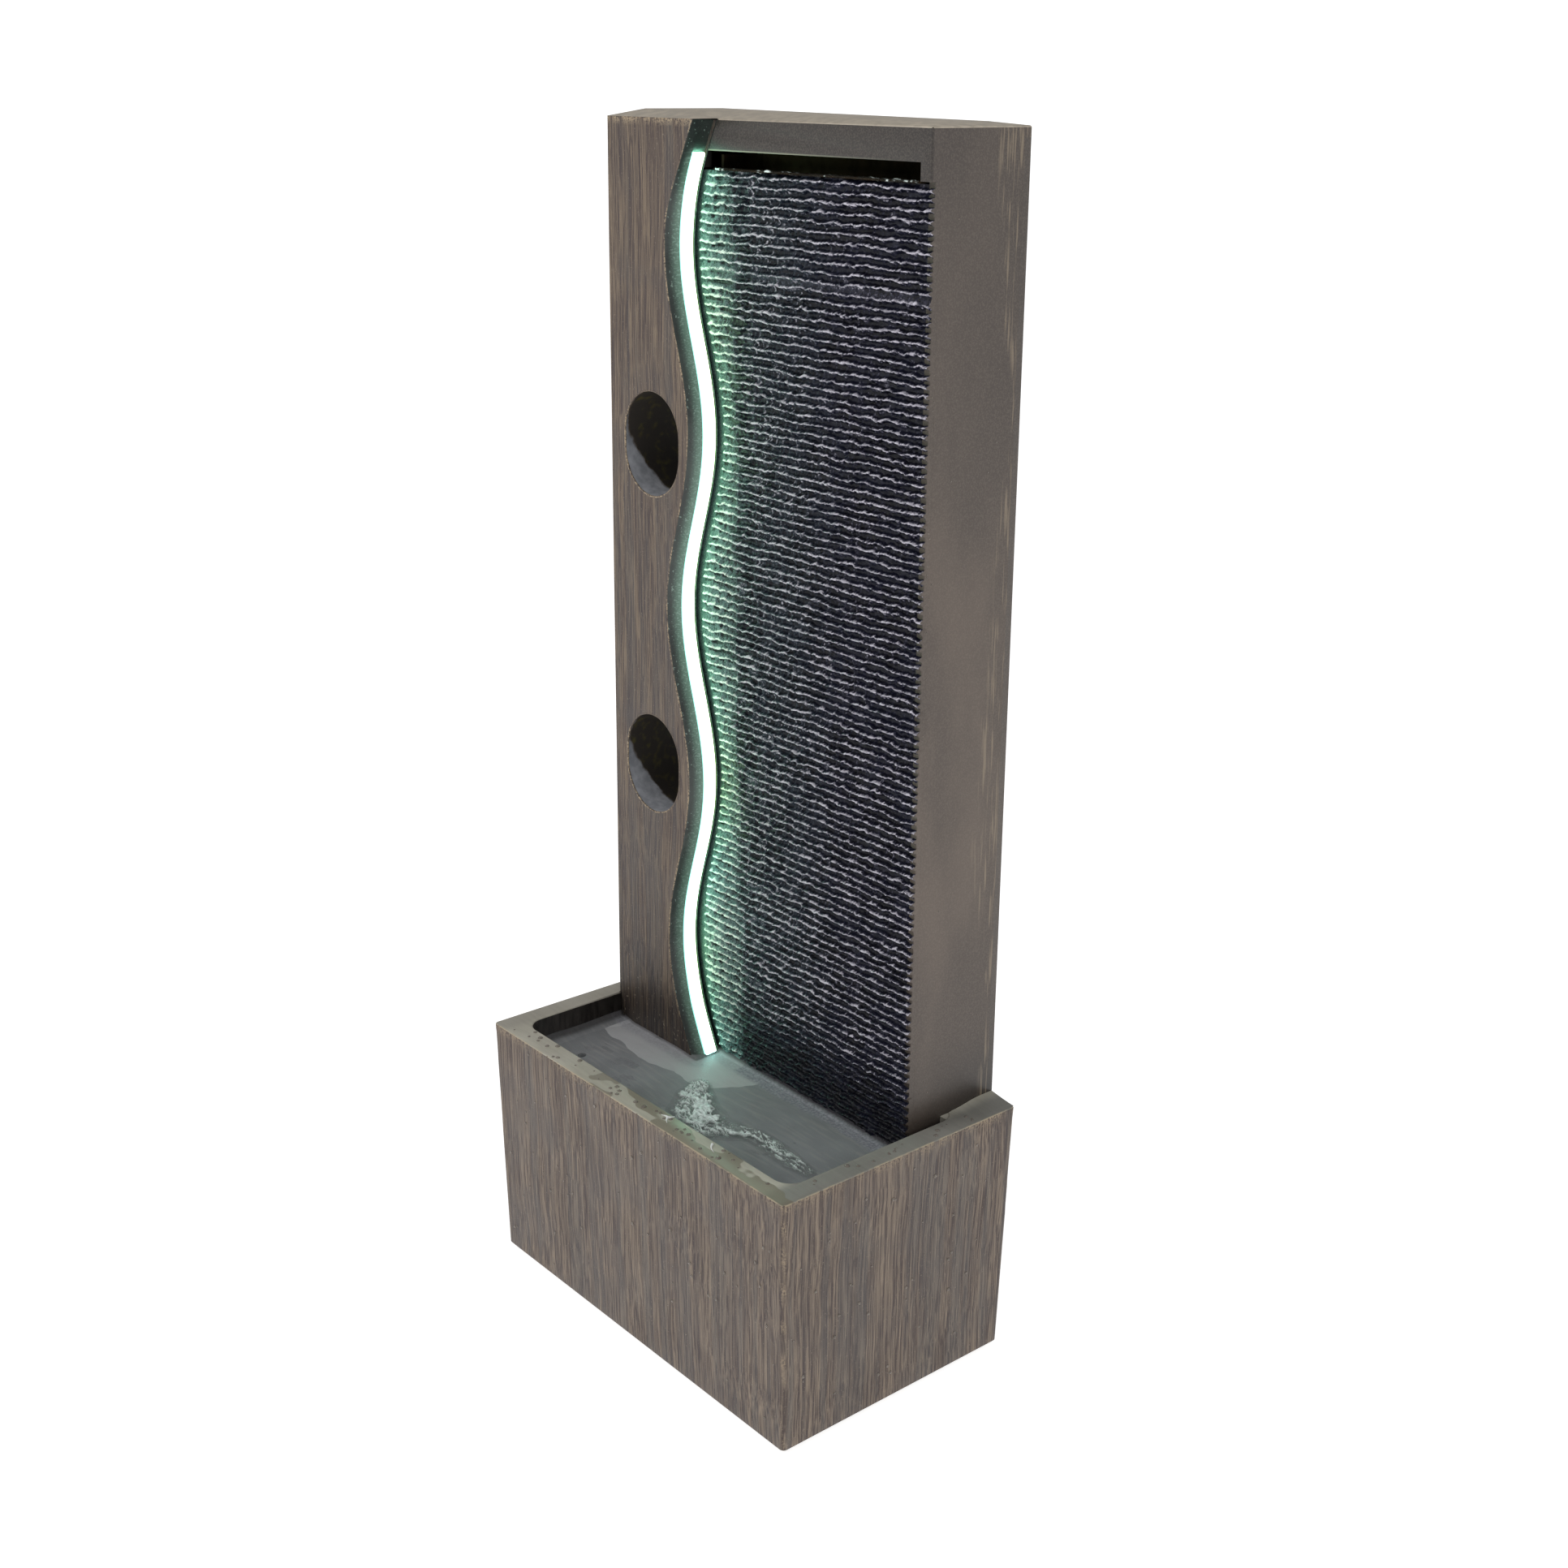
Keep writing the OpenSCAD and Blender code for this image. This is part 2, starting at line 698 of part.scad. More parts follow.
// Rubber grommet: a bore through a neck between two flanges
module grommet(bore, neck, len) {
    difference() {
        union() {
            cylinder(r = bore + grommet_t, h = neck + 2 * grommet_t);
            for (z = [0, neck + grommet_t]) translate([0, 0, z])
                cylinder(r = bore + grommet_t + grommet_lip, h = grommet_t);
        }
        translate([0, 0, -over]) cylinder(r = bore, h = len + 2 * over);
    }
}

module supply_grommet() color("#1d1d1d")
    translate([supply_x, y_back, supply_z]) rotate([90, 0, 0])
        grommet(supply_r, panel_t - grommet_t, panel_t + grommet_t);

tray_lead_x = pump_x + lead_pump_x + lead_bend + hose_t;
module tray_grommet() color("#1d1d1d")
    translate([tray_lead_x, pump_y, seat_z - tray_t - grommet_t])
        grommet(lead_r + fit, tray_t, tray_t + 2 * grommet_t);

module pump_lead() color("#161616") {
    y0 = box_y + box_d / 2;
    z0 = box_z + box_h / 2;
    y1 = 2 * pump_y - mix(motor_front, motor_back, lead_in_share);
    route = [[box_x + box_w, y0, z0],
        [box_x + box_w + lead_bend, y0, z0],
        [mix(box_x + box_w, tray_lead_x, 0.4), mix(y0, pump_y, 0.3), z0 - lead_bend],
        [mix(box_x + box_w, tray_lead_x, 0.85), mix(y0, pump_y, 0.6), seat_z + 3.2 * lead_bend],
        [tray_lead_x, pump_y, seat_z + 2 * lead_bend],
        [tray_lead_x, pump_y, seat_z + lead_bend],
        [tray_lead_x, pump_y, seat_z],
        [tray_lead_x, pump_y, seat_z - lead_bend],
        [tray_lead_x, pump_y, seat_z - 2 * lead_bend],
        [tray_lead_x - lead_bend / 2, mix(pump_y, y1, 0.4), mix(seat_z, pump_z, 0.4)],
        [pump_x + lead_pump_x, y1, pump_z + pump_h / 2 + 2 * lead_bend],
        [pump_x + lead_pump_x, y1, pump_z + pump_h / 2]];
    lead(smooth(route, 4), lead_r, [0, 0, 1]);
}

module riser_hose() color("#3b4246") difference() {
    rod_z([pump_x, pump_y, hose_z], hose_r, hose_top - hose_z);
    rod_z([pump_x, pump_y, hose_z - over], hose_bore_r, hose_top - hose_z + 2 * over);
}

// Band clamp round the hose, with its screw ear
module hose_clamp(z) {
    difference() {
        union() {
            rod_z([pump_x, pump_y, z], hose_r + fit / 2 + clamp_t, clamp_w);
            span([pump_x - clamp_ear / 2, pump_y - hose_r - clamp_t - clamp_ear, z],
                [pump_x + clamp_ear / 2, pump_y - hose_r, z + clamp_w]);
        }
        rod_z([pump_x, pump_y, z - over], hose_r + fit / 2, clamp_w + 2 * over);
    }
}
module hose_clamps() color("#b9bcbe") {
    hose_clamp(hose_z + clamp_in);
    hose_clamp(hose_top - clamp_in - clamp_w);
}

module outlet_nozzle() color("#262626") {
    z = pump_z + pump_h / 2;
    difference() {
        union() {
            rod_z([pump_x, pump_y, z - chamber_wall], outlet_r - run_fit, chamber_wall + over);
            rod_z([pump_x, pump_y, z], nozzle_flange_r, nozzle_flange_t);
            rod_z([pump_x, pump_y, z], barb_r, nozzle_len);
        }
        rod_z([pump_x, pump_y, z - chamber_wall - over], barb_bore_r,
            nozzle_len + chamber_wall + 2 * over);
    }
}

// Turns the pump about its outlet, so that its strainer faces the access door
module facing_door() {
    translate([pump_x, pump_y, 0]) rotate([0, 0, 180]) translate([-pump_x, -pump_y, 0]) children();
}

// Box centred on the pump's axis in X and Z
module pump_block(w, h, y0, y1) {
    span([pump_x - w / 2, y0, pump_z - h / 2], [pump_x + w / 2, y1, pump_z + h / 2]);
}

module pump_housing() color("#222527") facing_door() difference() {
    pump_block(pump_w, pump_h, volute_front, motor_back - motor_cap_t);
    rod_y([pump_x, volute_front - over, pump_z], chamber_r,
        chamber_back - volute_front + over);
    rod_z([pump_x, pump_y, pump_z], outlet_r, pump_h);
    rod_y([pump_x, chamber_back - over, pump_z], well_r, well_back - chamber_back + over);
    difference() {
        pump_block(pump_w - 2 * pump_shell, pump_h - 2 * pump_shell, motor_front, motor_back);
        rod_y([pump_x, motor_front - over, pump_z], well_r + well_t,
            well_back + well_t - motor_front + over);
    }
}

module motor_cap() color("#222527") facing_door()
    pump_block(pump_w, pump_h, motor_back - motor_cap_t, motor_back);

// Laminated core with two windows for the coils
core_y = motor_front + pump_shell;
module stator_core() color("#8a8d90") facing_door() difference() {
    pump_block(2 * core_half, core_h, core_y, core_y + core_t);
    rod_y([pump_x, core_y - over, pump_z], well_r + well_t + run_fit, core_t + 2 * over);
    for (side = [-1, 1]) translate([side * (core_half - core_limb - core_window_w / 2), 0, 0])
        pump_block(core_window_w, core_window_h, core_y - over, core_y + core_t + over);
}

// Coils wound round the two outer limbs of the core
module stator_coils() color("#b5652e") facing_door() for (side = [-1, 1])
    translate([side * limb_x, 0, 0]) difference() {
        pump_block(core_limb + 2 * coil_t, coil_h, core_y - coil_t, core_y + core_t + coil_t);
        pump_block(core_limb + fit, pump_h, core_y - fit / 2, core_y + core_t + fit / 2);
    }

module volute_cover() color("#2b2f31") facing_door() {
    w = pump_w - 2 * strainer_t - 2 * fit;
    h = pump_h - 2 * strainer_t - 2 * fit;
    difference() {
        pump_block(w, h, volute_front - cover_t, volute_front);
        rod_y([pump_x, volute_front - cover_t - over, pump_z], inlet_r, cover_t + 2 * over);
    }
    difference() {
        union() {
            rod_y([pump_x, volute_front - cover_t, pump_z], bush_r + spoke_t, cover_t);
            for (i = [0:spokes - 1]) translate([pump_x, volute_front - cover_t, pump_z])
                rotate([0, 360 * i / spokes, 0]) translate([0, 0, -spoke_t / 2])
                    cube([inlet_r + over, cover_t, spoke_t]);
        }
        rod_y([pump_x, volute_front - cover_t - over, pump_z], bush_r + run_fit,
            cover_t + 2 * over);
    }
}

vane_y = volute_front + cover_t;
rotor_back = well_back - end_bush_len - 2 * rotor_gap;
module shaft_bushes() color("#1b1b1b") facing_door() {
    difference() {
        rod_y([pump_x, volute_front - cover_t, pump_z], bush_r, bush_len);
        rod_y([pump_x, volute_front - cover_t - over, pump_z], shaft_r + run_fit,
            bush_len + 2 * over);
    }
    difference() {
        rod_y([pump_x, well_back - end_bush_len, pump_z], well_r - run_fit, end_bush_len);
        rod_y([pump_x, well_back - end_bush_len - over, pump_z], shaft_r + run_fit,
            end_bush_len + 2 * over);
    }
}

module impeller_shaft() color("#dcdcd8") facing_door()
    rod_y([pump_x, volute_front - cover_t, pump_z], shaft_r,
        well_back - volute_front + cover_t);

module impeller() color("#c9c4b4") facing_door() difference() {
    union() {
        rod_y([pump_x, vane_y, pump_z], hub_r, chamber_back - vane_y);
        rod_y([pump_x, vane_y + vane_len - sliver, pump_z], disc_r, disc_t);
        rod_y([pump_x, chamber_back - over, pump_z], rotor_r, rotor_back - chamber_back + over);
        for (i = [0:vanes - 1]) translate([pump_x, vane_y, pump_z])
            rotate([0, 360 * i / vanes, 0]) translate([0, 0, -vane_t / 2])
                cube([disc_r, vane_len, vane_t]);
    }
    rod_y([pump_x, vane_y - over, pump_z], shaft_r + run_fit, rotor_back - vane_y + 2 * over);
}

strainer_front = volute_front - strainer_len;
dial_y = volute_front - strainer_len / 2;
module strainer_cover() color("#1f2224") facing_door() difference() {
    pump_block(pump_w, pump_h, strainer_front, volute_front);
    pump_block(pump_w - 2 * strainer_t, pump_h - 2 * strainer_t, strainer_front + strainer_t,
        volute_front + over);
    for (i = [0:slot_count - 1])
        translate([(i - (slot_count - 1) / 2) * 2 * strainer_slot_w, 0, 0])
            pump_block(strainer_slot_w, strainer_slot_h, strainer_front - over,
                strainer_front + strainer_t + over);
    rod_z([pump_x + dial_off, dial_y, pump_z], dial_stem_r + run_fit, pump_h);
}

module filter_sponge() color("#2a3c55") facing_door()
    pump_block(pump_w - 4 * strainer_t, pump_h - 5 * strainer_t, strainer_front + strainer_t + fit,
        volute_front - cover_t - fit);

module flow_dial() color("#c8642a") facing_door() {
    z = pump_z + pump_h / 2;
    rod_z([pump_x + dial_off, dial_y, z + fit], dial_r, dial_t);
    rod_z([pump_x + dial_off, dial_y, z - strainer_t], dial_stem_r, strainer_t + over);
    translate([pump_x + dial_off, dial_y, z + fit + dial_t - sliver])
        span([-dial_r + over, -over / 2, 0], [dial_r - over, over / 2, over]);
}

module suction_cups() color("#242424") facing_door()
    for (x = [-1, 1] * (pump_w / 2 - cup_r), y = [volute_front + cup_r, motor_back - cup_r])
        translate([pump_x + x, y, basin_floor]) rotate_extrude() polygon([[0, cup_skirt],
            [cup_r - cup_skirt, 0], [cup_r, 0], [cup_neck_r, cup_h - 2 * cup_skirt],
            [cup_neck_r, cup_h], [0, cup_h]]);

module access_door() color("#5a534e") {
    difference() {
        union() {
            span([-door_w / 2, door_y, door_z], [door_w / 2, door_face_y, door_z + door_h]);
            span([hinge_x, door_y, door_z], [-door_w / 2 + over, door_face_y, door_z + door_h]);
            rod_z([hinge_x, hinge_y, door_z], barrel_r, door_h);
        }
        rod_z([hinge_x, hinge_y, door_z - over], hinge_pin_r + run_fit, door_h + 2 * over);
        for (z = catch_heights) rod_y([catch_x, door_y - over, z], magnet_r + run_fit,
            striker_t + over);
    }
    span([door_w / 2 - 3 * pull_w, door_face_y - sliver, door_z + (door_h - pull_h) / 2],
        [door_w / 2 - 2 * pull_w, door_face_y + pull_t, door_z + (door_h + pull_h) / 2]);
}

module door_gasket() color("#151515") {
    x = door_w / 2 - door_seat_w;
    difference() {
        span([-x - gasket_w, door_seat_y + fit, door_z + door_seat_w - gasket_w],
            [x + gasket_w, door_y, door_z + door_h - door_seat_w + gasket_w]);
        span([-x, door_seat_y - over, door_z + door_seat_w],
            [x, door_y + over, door_z + door_h - door_seat_w]);
    }
}

module striker_discs() color("#b8babc")
    for (z = catch_heights) rod_y([catch_x, door_y, z], magnet_r, striker_t);

module door_hinge_pin() color("#c2c4c6")
    rod_z([hinge_x, hinge_y, door_z - door_gap - pin_bite], hinge_pin_r,
        door_h + 2 * (door_gap + pin_bite));

module catch_magnets() color("#77797b")
    for (z = catch_heights) rod_y([catch_x, door_seat_y - magnet_t, z], magnet_r, magnet_t);

module drain_plug() color("#1a1a1a") {
    rod_y([plug_x, wall_in_y - plug_tip, plug_z], plug_r - plug_fit,
        plug_face_y + fit - wall_in_y + plug_tip + over);
    rod_y([plug_x, plug_face_y + fit, plug_z], plug_head_r, plug_head_t);
}

basin_shell();
catch_tray();
tower_shell();
back_panel();
panel_screws();
ribbed_wall();
spill_trough();
inlet_fitting();
inlet_nut();
window_sleeve_upper();
window_sleeve_lower();
led_diffuser();
led_board();
led_chips();
led_end_caps();
led_lead();
junction_box();
junction_lid();
driver_board();
supply_grommet();
tray_grommet();
riser_hose();
hose_clamps();
outlet_nozzle();
pump_housing();
motor_cap();
stator_core();
stator_coils();
volute_cover();
shaft_bushes();
impeller_shaft();
impeller();
filter_sponge();
strainer_cover();
flow_dial();
suction_cups();
pump_lead();
access_door();
door_gasket();
striker_discs();
door_hinge_pin();
catch_magnets();
drain_plug();
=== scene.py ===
import logging
import math
from contextlib import contextmanager
from dataclasses import dataclass, field
from enum import Enum
from typing import Any, Callable, Iterator

import bmesh
import bpy
import numpy as np
from mathutils import Matrix, Vector


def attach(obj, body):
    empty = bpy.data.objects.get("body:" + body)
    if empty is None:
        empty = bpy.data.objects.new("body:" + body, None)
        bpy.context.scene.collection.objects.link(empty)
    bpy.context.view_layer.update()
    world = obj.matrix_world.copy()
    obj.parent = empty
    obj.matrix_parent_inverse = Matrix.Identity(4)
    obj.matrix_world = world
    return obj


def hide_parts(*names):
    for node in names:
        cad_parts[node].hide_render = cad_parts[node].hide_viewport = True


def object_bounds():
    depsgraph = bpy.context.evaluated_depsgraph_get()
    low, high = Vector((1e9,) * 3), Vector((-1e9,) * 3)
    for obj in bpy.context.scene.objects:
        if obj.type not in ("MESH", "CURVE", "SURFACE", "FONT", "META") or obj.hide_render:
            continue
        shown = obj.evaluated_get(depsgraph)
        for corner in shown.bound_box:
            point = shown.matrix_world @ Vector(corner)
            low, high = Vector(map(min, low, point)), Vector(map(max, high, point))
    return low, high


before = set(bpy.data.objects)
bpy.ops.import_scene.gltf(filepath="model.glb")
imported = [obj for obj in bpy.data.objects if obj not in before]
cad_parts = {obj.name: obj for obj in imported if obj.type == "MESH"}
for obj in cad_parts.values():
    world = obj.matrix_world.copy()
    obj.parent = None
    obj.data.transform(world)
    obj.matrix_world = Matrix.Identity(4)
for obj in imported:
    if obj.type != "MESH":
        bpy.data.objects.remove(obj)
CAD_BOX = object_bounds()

log = logging.getLogger("fountain")
Piece = bpy.types.Object
Socket = bpy.types.NodeSocket
Array = np.ndarray
Spot = tuple[float, float, float]
Test = Callable[[Vector, Vector], bool]

MM = 0.001
# Places that several pieces share: the slab's left end, the tower's right side and its face, which the
# ribs' crests reach too, its top, the slot's upper edge, and each window's middle in X and Z
SLAB_LEFT = -180 * MM
TOWER_RIGHT = 170 * MM
TOWER_FACE = 25 * MM
TOWER_TOP = 984 * MM
SLOT_TOP = 960 * MM
WINDOWS = ((-124 * MM, 727 * MM), (-126 * MM, 452 * MM))
# Soft steps between two values of a pattern
SOFT = {"interpolation_type": "SMOOTHSTEP"}


# ---- Hand tools ----

class Cut(Enum):
    """The ways one solid can be worked against another."""

    REMOVE = "DIFFERENCE"
    KEEP = "INTERSECT"
    JOIN = "UNION"


class Parts(Enum):
    """The parts of a mesh that can be picked."""

    POINTS = "VERT"
    EDGES = "EDGE"
    FACES = "FACE"


class Shape(Enum):
    """The plain shapes that a piece can start from."""

    BOX = "cube"
    GRID = "grid"
    PLANE = "plane"
    ROD = "cylinder"
    CONE = "cone"
    RING = "torus"
    BALL = "uv_sphere"


def put_down() -> None:
    """Leaves edit mode and deselects everything."""
    if bpy.context.mode != "OBJECT":
        bpy.ops.object.mode_set(mode="OBJECT")
    bpy.ops.object.select_all(action="DESELECT")


def take(piece: Piece) -> None:
    """Makes one piece the only one selected, and the active one."""
    put_down()
    piece.select_set(True)
    bpy.context.view_layer.objects.active = piece


def start(name: str, shape: Shape, scale: Any = (1, 1, 1), **sizes: Any) -> Piece:
    """Adds one of Blender's plain shapes, and moves its place, turn and size into its mesh.

    Args:
        name: Name of the piece.
        shape: The shape.
        scale: How much it is stretched along each axis.
        sizes: The shape's own sizes, its place and its turn.

    Returns:
        The new piece, with its object at the origin.
    """
    put_down()
    getattr(bpy.ops.mesh, f"primitive_{shape.value}_add")(**sizes)
    piece = bpy.context.object
    piece.scale = scale
    return settle(piece, name)


def settle(piece: Piece, name: str) -> Piece:
    """Names a piece, and moves its place, turn and size into its mesh.

    Args:
        piece: The piece.
        name: Its new name.

    Returns:
        The same piece.
    """
    take(piece)
    bpy.ops.object.transform_apply(location=True, rotation=True, scale=True)
    piece.name = name
    piece.data.name = name
    return piece


def block(name: str, low: Spot, high: Spot) -> Piece:
    """Adds a box between two corners and returns it."""
    middle = [(a + b) / 2 for a, b in zip(low, high)]
    return start(name, Shape.BOX, [b - a for a, b in zip(low, high)], size=1, location=middle)


def sheet(name: str, low: tuple[float, float], high: tuple[float, float], cells: tuple[int, int],
          level: float, upright: bool = False) -> Piece:
    """Adds a flat grid, lying at a height or standing at a depth.

    Args:
        name: Name of the sheet.
        low: Lowest X and Y, or lowest X and Z when it stands.
        high: Highest X and Y, or X and Z.
        cells: How many cells it has along each side.
        level: Its height, or its depth along Y when it stands.
        upright: Whether it stands and faces the front.

    Returns:
        The new sheet.
    """
    u, v = (low[0] + high[0]) / 2, (low[1] + high[1]) / 2
    return start(name, Shape.GRID, (high[0] - low[0], high[1] - low[1], 1), size=1,
                 x_subdivisions=cells[0], y_subdivisions=cells[1],
                 location=(u, level, v) if upright else (u, v, level),
                 rotation=(math.pi / 2 if upright else 0, 0, 0))


@contextmanager
def editing(piece: Piece, parts: Parts = Parts.EDGES) -> Iterator[None]:
    """Holds a piece in edit mode, with nothing selected.

    Args:
        piece: The piece to edit.
        parts: What the selection works on.

    Yields:
        Nothing.
    """
    take(piece)
    bpy.ops.object.mode_set(mode="EDIT")
    bpy.ops.mesh.select_mode(type=parts.value)
    bpy.ops.mesh.select_all(action="DESELECT")
    yield
    bpy.ops.object.mode_set(mode="OBJECT")


def pick(piece: Piece, test: Test, parts: Parts = Parts.EDGES) -> None:
    """Selects the edges whose two ends pass a test, or the faces whose middle and normal do.

    Args:
        piece: The piece, in edit mode.
        test: The test.
        parts: Whether edges or faces are picked.
    """
    faces = parts is Parts.FACES
    bpy.ops.mesh.select_mode(type=parts.value)
    bpy.ops.mesh.select_all(action="DESELECT")
    shape = bmesh.from_edit_mesh(piece.data)
    for part in shape.faces if faces else shape.edges:
        ends = (part.calc_center_median(), part.normal) if faces else (part.verts[0].co, part.verts[1].co)
        if test(*ends):
            part.select_set(True)
    bmesh.update_edit_mesh(piece.data)


def round_off(piece: Piece, test: Test, radius: float, segments: int) -> None:
    """Rounds the edges that pass a test, in edit mode."""
    pick(piece, test)
    bpy.ops.mesh.bevel(offset=radius, segments=segments)


def cut_fine(piece: Piece, test: Test, *rounds: int) -> None:
    """Cuts edges into shorter ones, in edit mode.

    Args:
        piece: The piece.
        test: Picks the edges.
        rounds: How many parts an edge becomes, round after round.
    """
    for parts in rounds:
        pick(piece, test)
        bpy.ops.mesh.subdivide(number_cuts=parts - 1)


def open_ends(piece: Piece) -> None:
    """Takes the top and the bottom faces off a piece, in edit mode."""
    pick(piece, lambda at, n: abs(n.z) > 0.99, Parts.FACES)
    bpy.ops.mesh.delete(type="ONLY_FACE")


def cap(piece: Piece, *levels: float) -> None:
    """Fills open rings with one face each, in edit mode.

    Args:
        piece: The piece.
        levels: The heights of the rings.
    """
    for level in levels:
        pick(piece, lambda a, b: near(a.z, level, 0.01 * MM) and near(b.z, level, 0.01 * MM))
        bpy.ops.mesh.edge_face_add()


def close_sheet(piece: Piece, flat: Spot, centre: Spot, outward: bool = True) -> None:
    """Makes a sheet solid: its border is drawn out onto a plane, and the plane is filled.

    Args:
        piece: The sheet.
        flat: 1 along the plane's axes and 0 across it.
        centre: A point on the plane.
        outward: Whether the faces are turned outwards afterwards.
    """
    with editing(piece):
        bpy.ops.mesh.select_all(action="SELECT")
        bpy.ops.mesh.region_to_loop()
        bpy.ops.mesh.extrude_region_move()
        bpy.ops.transform.resize(value=flat, orient_type="GLOBAL", center_override=centre)
        bpy.ops.mesh.edge_face_add()
        if outward:
            bpy.ops.mesh.select_all(action="SELECT")
            bpy.ops.mesh.normals_make_consistent(inside=False)


def clean(piece: Piece, reach: float) -> None:
    """Merges doubled points, and loose triangles into clean flat faces, in edit mode.

    Args:
        piece: The piece.
        reach: How close doubled points lie.
    """
    bpy.ops.mesh.select_all(action="SELECT")
    bpy.ops.mesh.remove_doubles(threshold=reach)
    bpy.ops.mesh.dissolve_limited(angle_limit=math.radians(0.4))


def work(piece: Piece, tool: Piece, cut: Cut, exact: bool = False) -> None:
    """Cuts, trims or joins a piece with a tool, and removes the tool.

    Args:
        piece: The piece to work.
        tool: The solid that works it.
        cut: What the tool does.
        exact: Whether to use the slower solver, which takes any solid.
    """
    take(piece)
    step = piece.modifiers.new("work", "BOOLEAN")
    step.object, step.operation = tool, cut.value
    step.solver = "EXACT" if exact else "MANIFOLD"
    bpy.ops.object.modifier_apply(modifier=step.name)
    bpy.data.objects.remove(tool)


def cad_copy(node: str, name: str) -> Piece:
    """Copies a CAD node, free of the frame and with clean faces.

    Args:
        node: The node.
        name: The copy's name.

    Returns:
        The copy.
    """
    piece = bpy.data.objects.new(name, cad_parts[node].data.copy())
    bpy.context.scene.collection.objects.link(piece)
    piece.data.materials.clear()
    with editing(piece, Parts.POINTS):
        clean(piece, 0.002 * MM)
    return piece


def smooth(piece: Piece, angle: float | None = None) -> None:
    """Shades a piece smooth.

    Args:
        piece: The piece.
        angle: Edges sharper than this, in degrees, stay sharp.
    """
    take(piece)
    if angle is None:
        bpy.ops.object.shade_smooth()
    else:
        bpy.ops.object.shade_smooth_by_angle(angle=math.radians(angle))


# ---- Measures, and tests for edges ----

def points(piece: Piece) -> Array:
    """Reads where a piece's points are.

    Args:
        piece: The piece.

    Returns:
        Rows of X, Y and Z.
    """
    flat = np.empty(len(piece.data.vertices) * 3, np.float32)
    piece.data.vertices.foreach_get("co", flat)
    return flat.reshape(-1, 3).astype(float)


def place_points(piece: Piece, rows: Array) -> None:
    """Puts a piece's points at new places."""
    piece.data.vertices.foreach_set("co", rows.astype(np.float32).ravel())
    piece.data.update()


def paint(piece: Piece, name: str, values: Array) -> None:
    """Stores one number for each point of a piece, which its material reads by name."""
    layer = piece.data.attributes.get(name) or piece.data.attributes.new(name, "FLOAT", "POINT")
    layer.data.foreach_set("value", values.astype(np.float32))


def near(a: float, b: float, reach: float) -> bool:
    """Says whether two lengths agree within a reach."""
    return abs(a - b) < reach


def tall(a: Vector, b: Vector) -> bool:
    """Says whether an edge climbs over 100 mm."""
    return abs(a.z - b.z) > 100 * MM


def along(axis: int) -> Test:
    """Makes a test for edges that run along X (0), Y (1) or Z (2)."""
    others = [i for i in range(3) if i != axis]
    return lambda a, b: (abs(a[axis] - b[axis]) > 0.05 * MM
                         and all(near(a[i], b[i], 0.001 * MM) for i in others))


def ramp(values: Any, low: Any, high: Any) -> Array:
    """Rises smoothly from 0 to 1 between two values."""
    t = np.clip((values - low) / (high - low), 0, 1)
    return t * t * (3 - 2 * t)


def bell(values: Array, width: Any, power: int = 2) -> Array:
    """Is 1 where a value is nil and falls off smoothly past a width."""
    return np.exp(-(values / width) ** power)


class Noise:
    """Smooth random values over a plane, the same at each run."""

    def __init__(self, seed: int) -> None:
        """Draws the values that the plane is filled with."""
        self.values = np.random.default_rng(seed).random((256, 256))

    def at(self, u: Any, v: Any) -> Array:
        """Finds the value at each place.

        Args:
            u: How far the place lies along the first side, in cells.
            v: The same along the second side.

        Returns:
            Values from 0 to 1.
        """
        u, v = np.broadcast_arrays(np.asarray(u, float), np.asarray(v, float))
        iu, iv = np.floor(u).astype(int), np.floor(v).astype(int)
        fu, fv = u - iu, v - iv
        su, sv = fu * fu * (3 - 2 * fu), fv * fv * (3 - 2 * fv)
        grid = self.values
        low = grid[iu & 255, iv & 255] * (1 - su) + grid[(iu + 1) & 255, iv & 255] * su
        high = grid[iu & 255, (iv + 1) & 255] * (1 - su) + grid[(iu + 1) & 255, (iv + 1) & 255] * su
        return low * (1 - sv) + high * sv

    def layered(self, u: Any, v: Any, layers: int) -> Array:
        """Lays finer and finer detail over the plain values.

        Args:
            u: Places along the first side, in cells.
            v: Places along the second side.
            layers: How many layers there are.

        Returns:
            Values from 0 to 1.
        """
        total, weight, share = 0.0, 0.0, 1.0
        for layer in range(layers):
            total = total + share * self.at(u * 2 ** layer + 17 * layer, v * 2 ** layer + 31 * layer)
            weight += share
            share *= 0.55
        return total / weight

    def sway(self, u: Any, v: Any, layers: int) -> Array:
        """Returns layered values from -0.5 to 0.5."""
        return self.layered(u, v, layers) - 0.5


class Grain:
    """Upright brush marks that the painted resin carries, 1.9 mm apart and about 75 mm long."""

    line = 1.9 * MM
    length = 75 * MM

    def __init__(self, seed: int) -> None:
        """Lays out the marks."""
        self.noise = Noise(seed)

    def at(self, across: Array, z: Array) -> Array:
        """Finds how far each place stands out.

        Args:
            across: How far the place lies along the wall.
            z: Its height.

        Returns:
            Values from 0 in a groove to 1 on a ridge.
        """
        across = across + self.noise.sway(across / (40 * MM), z / (90 * MM), 2) * 7 * MM
        fine = self.noise.at(across / self.line, z / self.length)
        finer = self.noise.at(across / self.line * 2.1 + 40, z / self.length * 2.3 + 9)
        broad = self.noise.at(across / (9 * MM) + 80, z / (160 * MM) + 3)
        return np.clip(0.5 * fine + 0.3 * finer + 0.2 * broad, 0, 1)


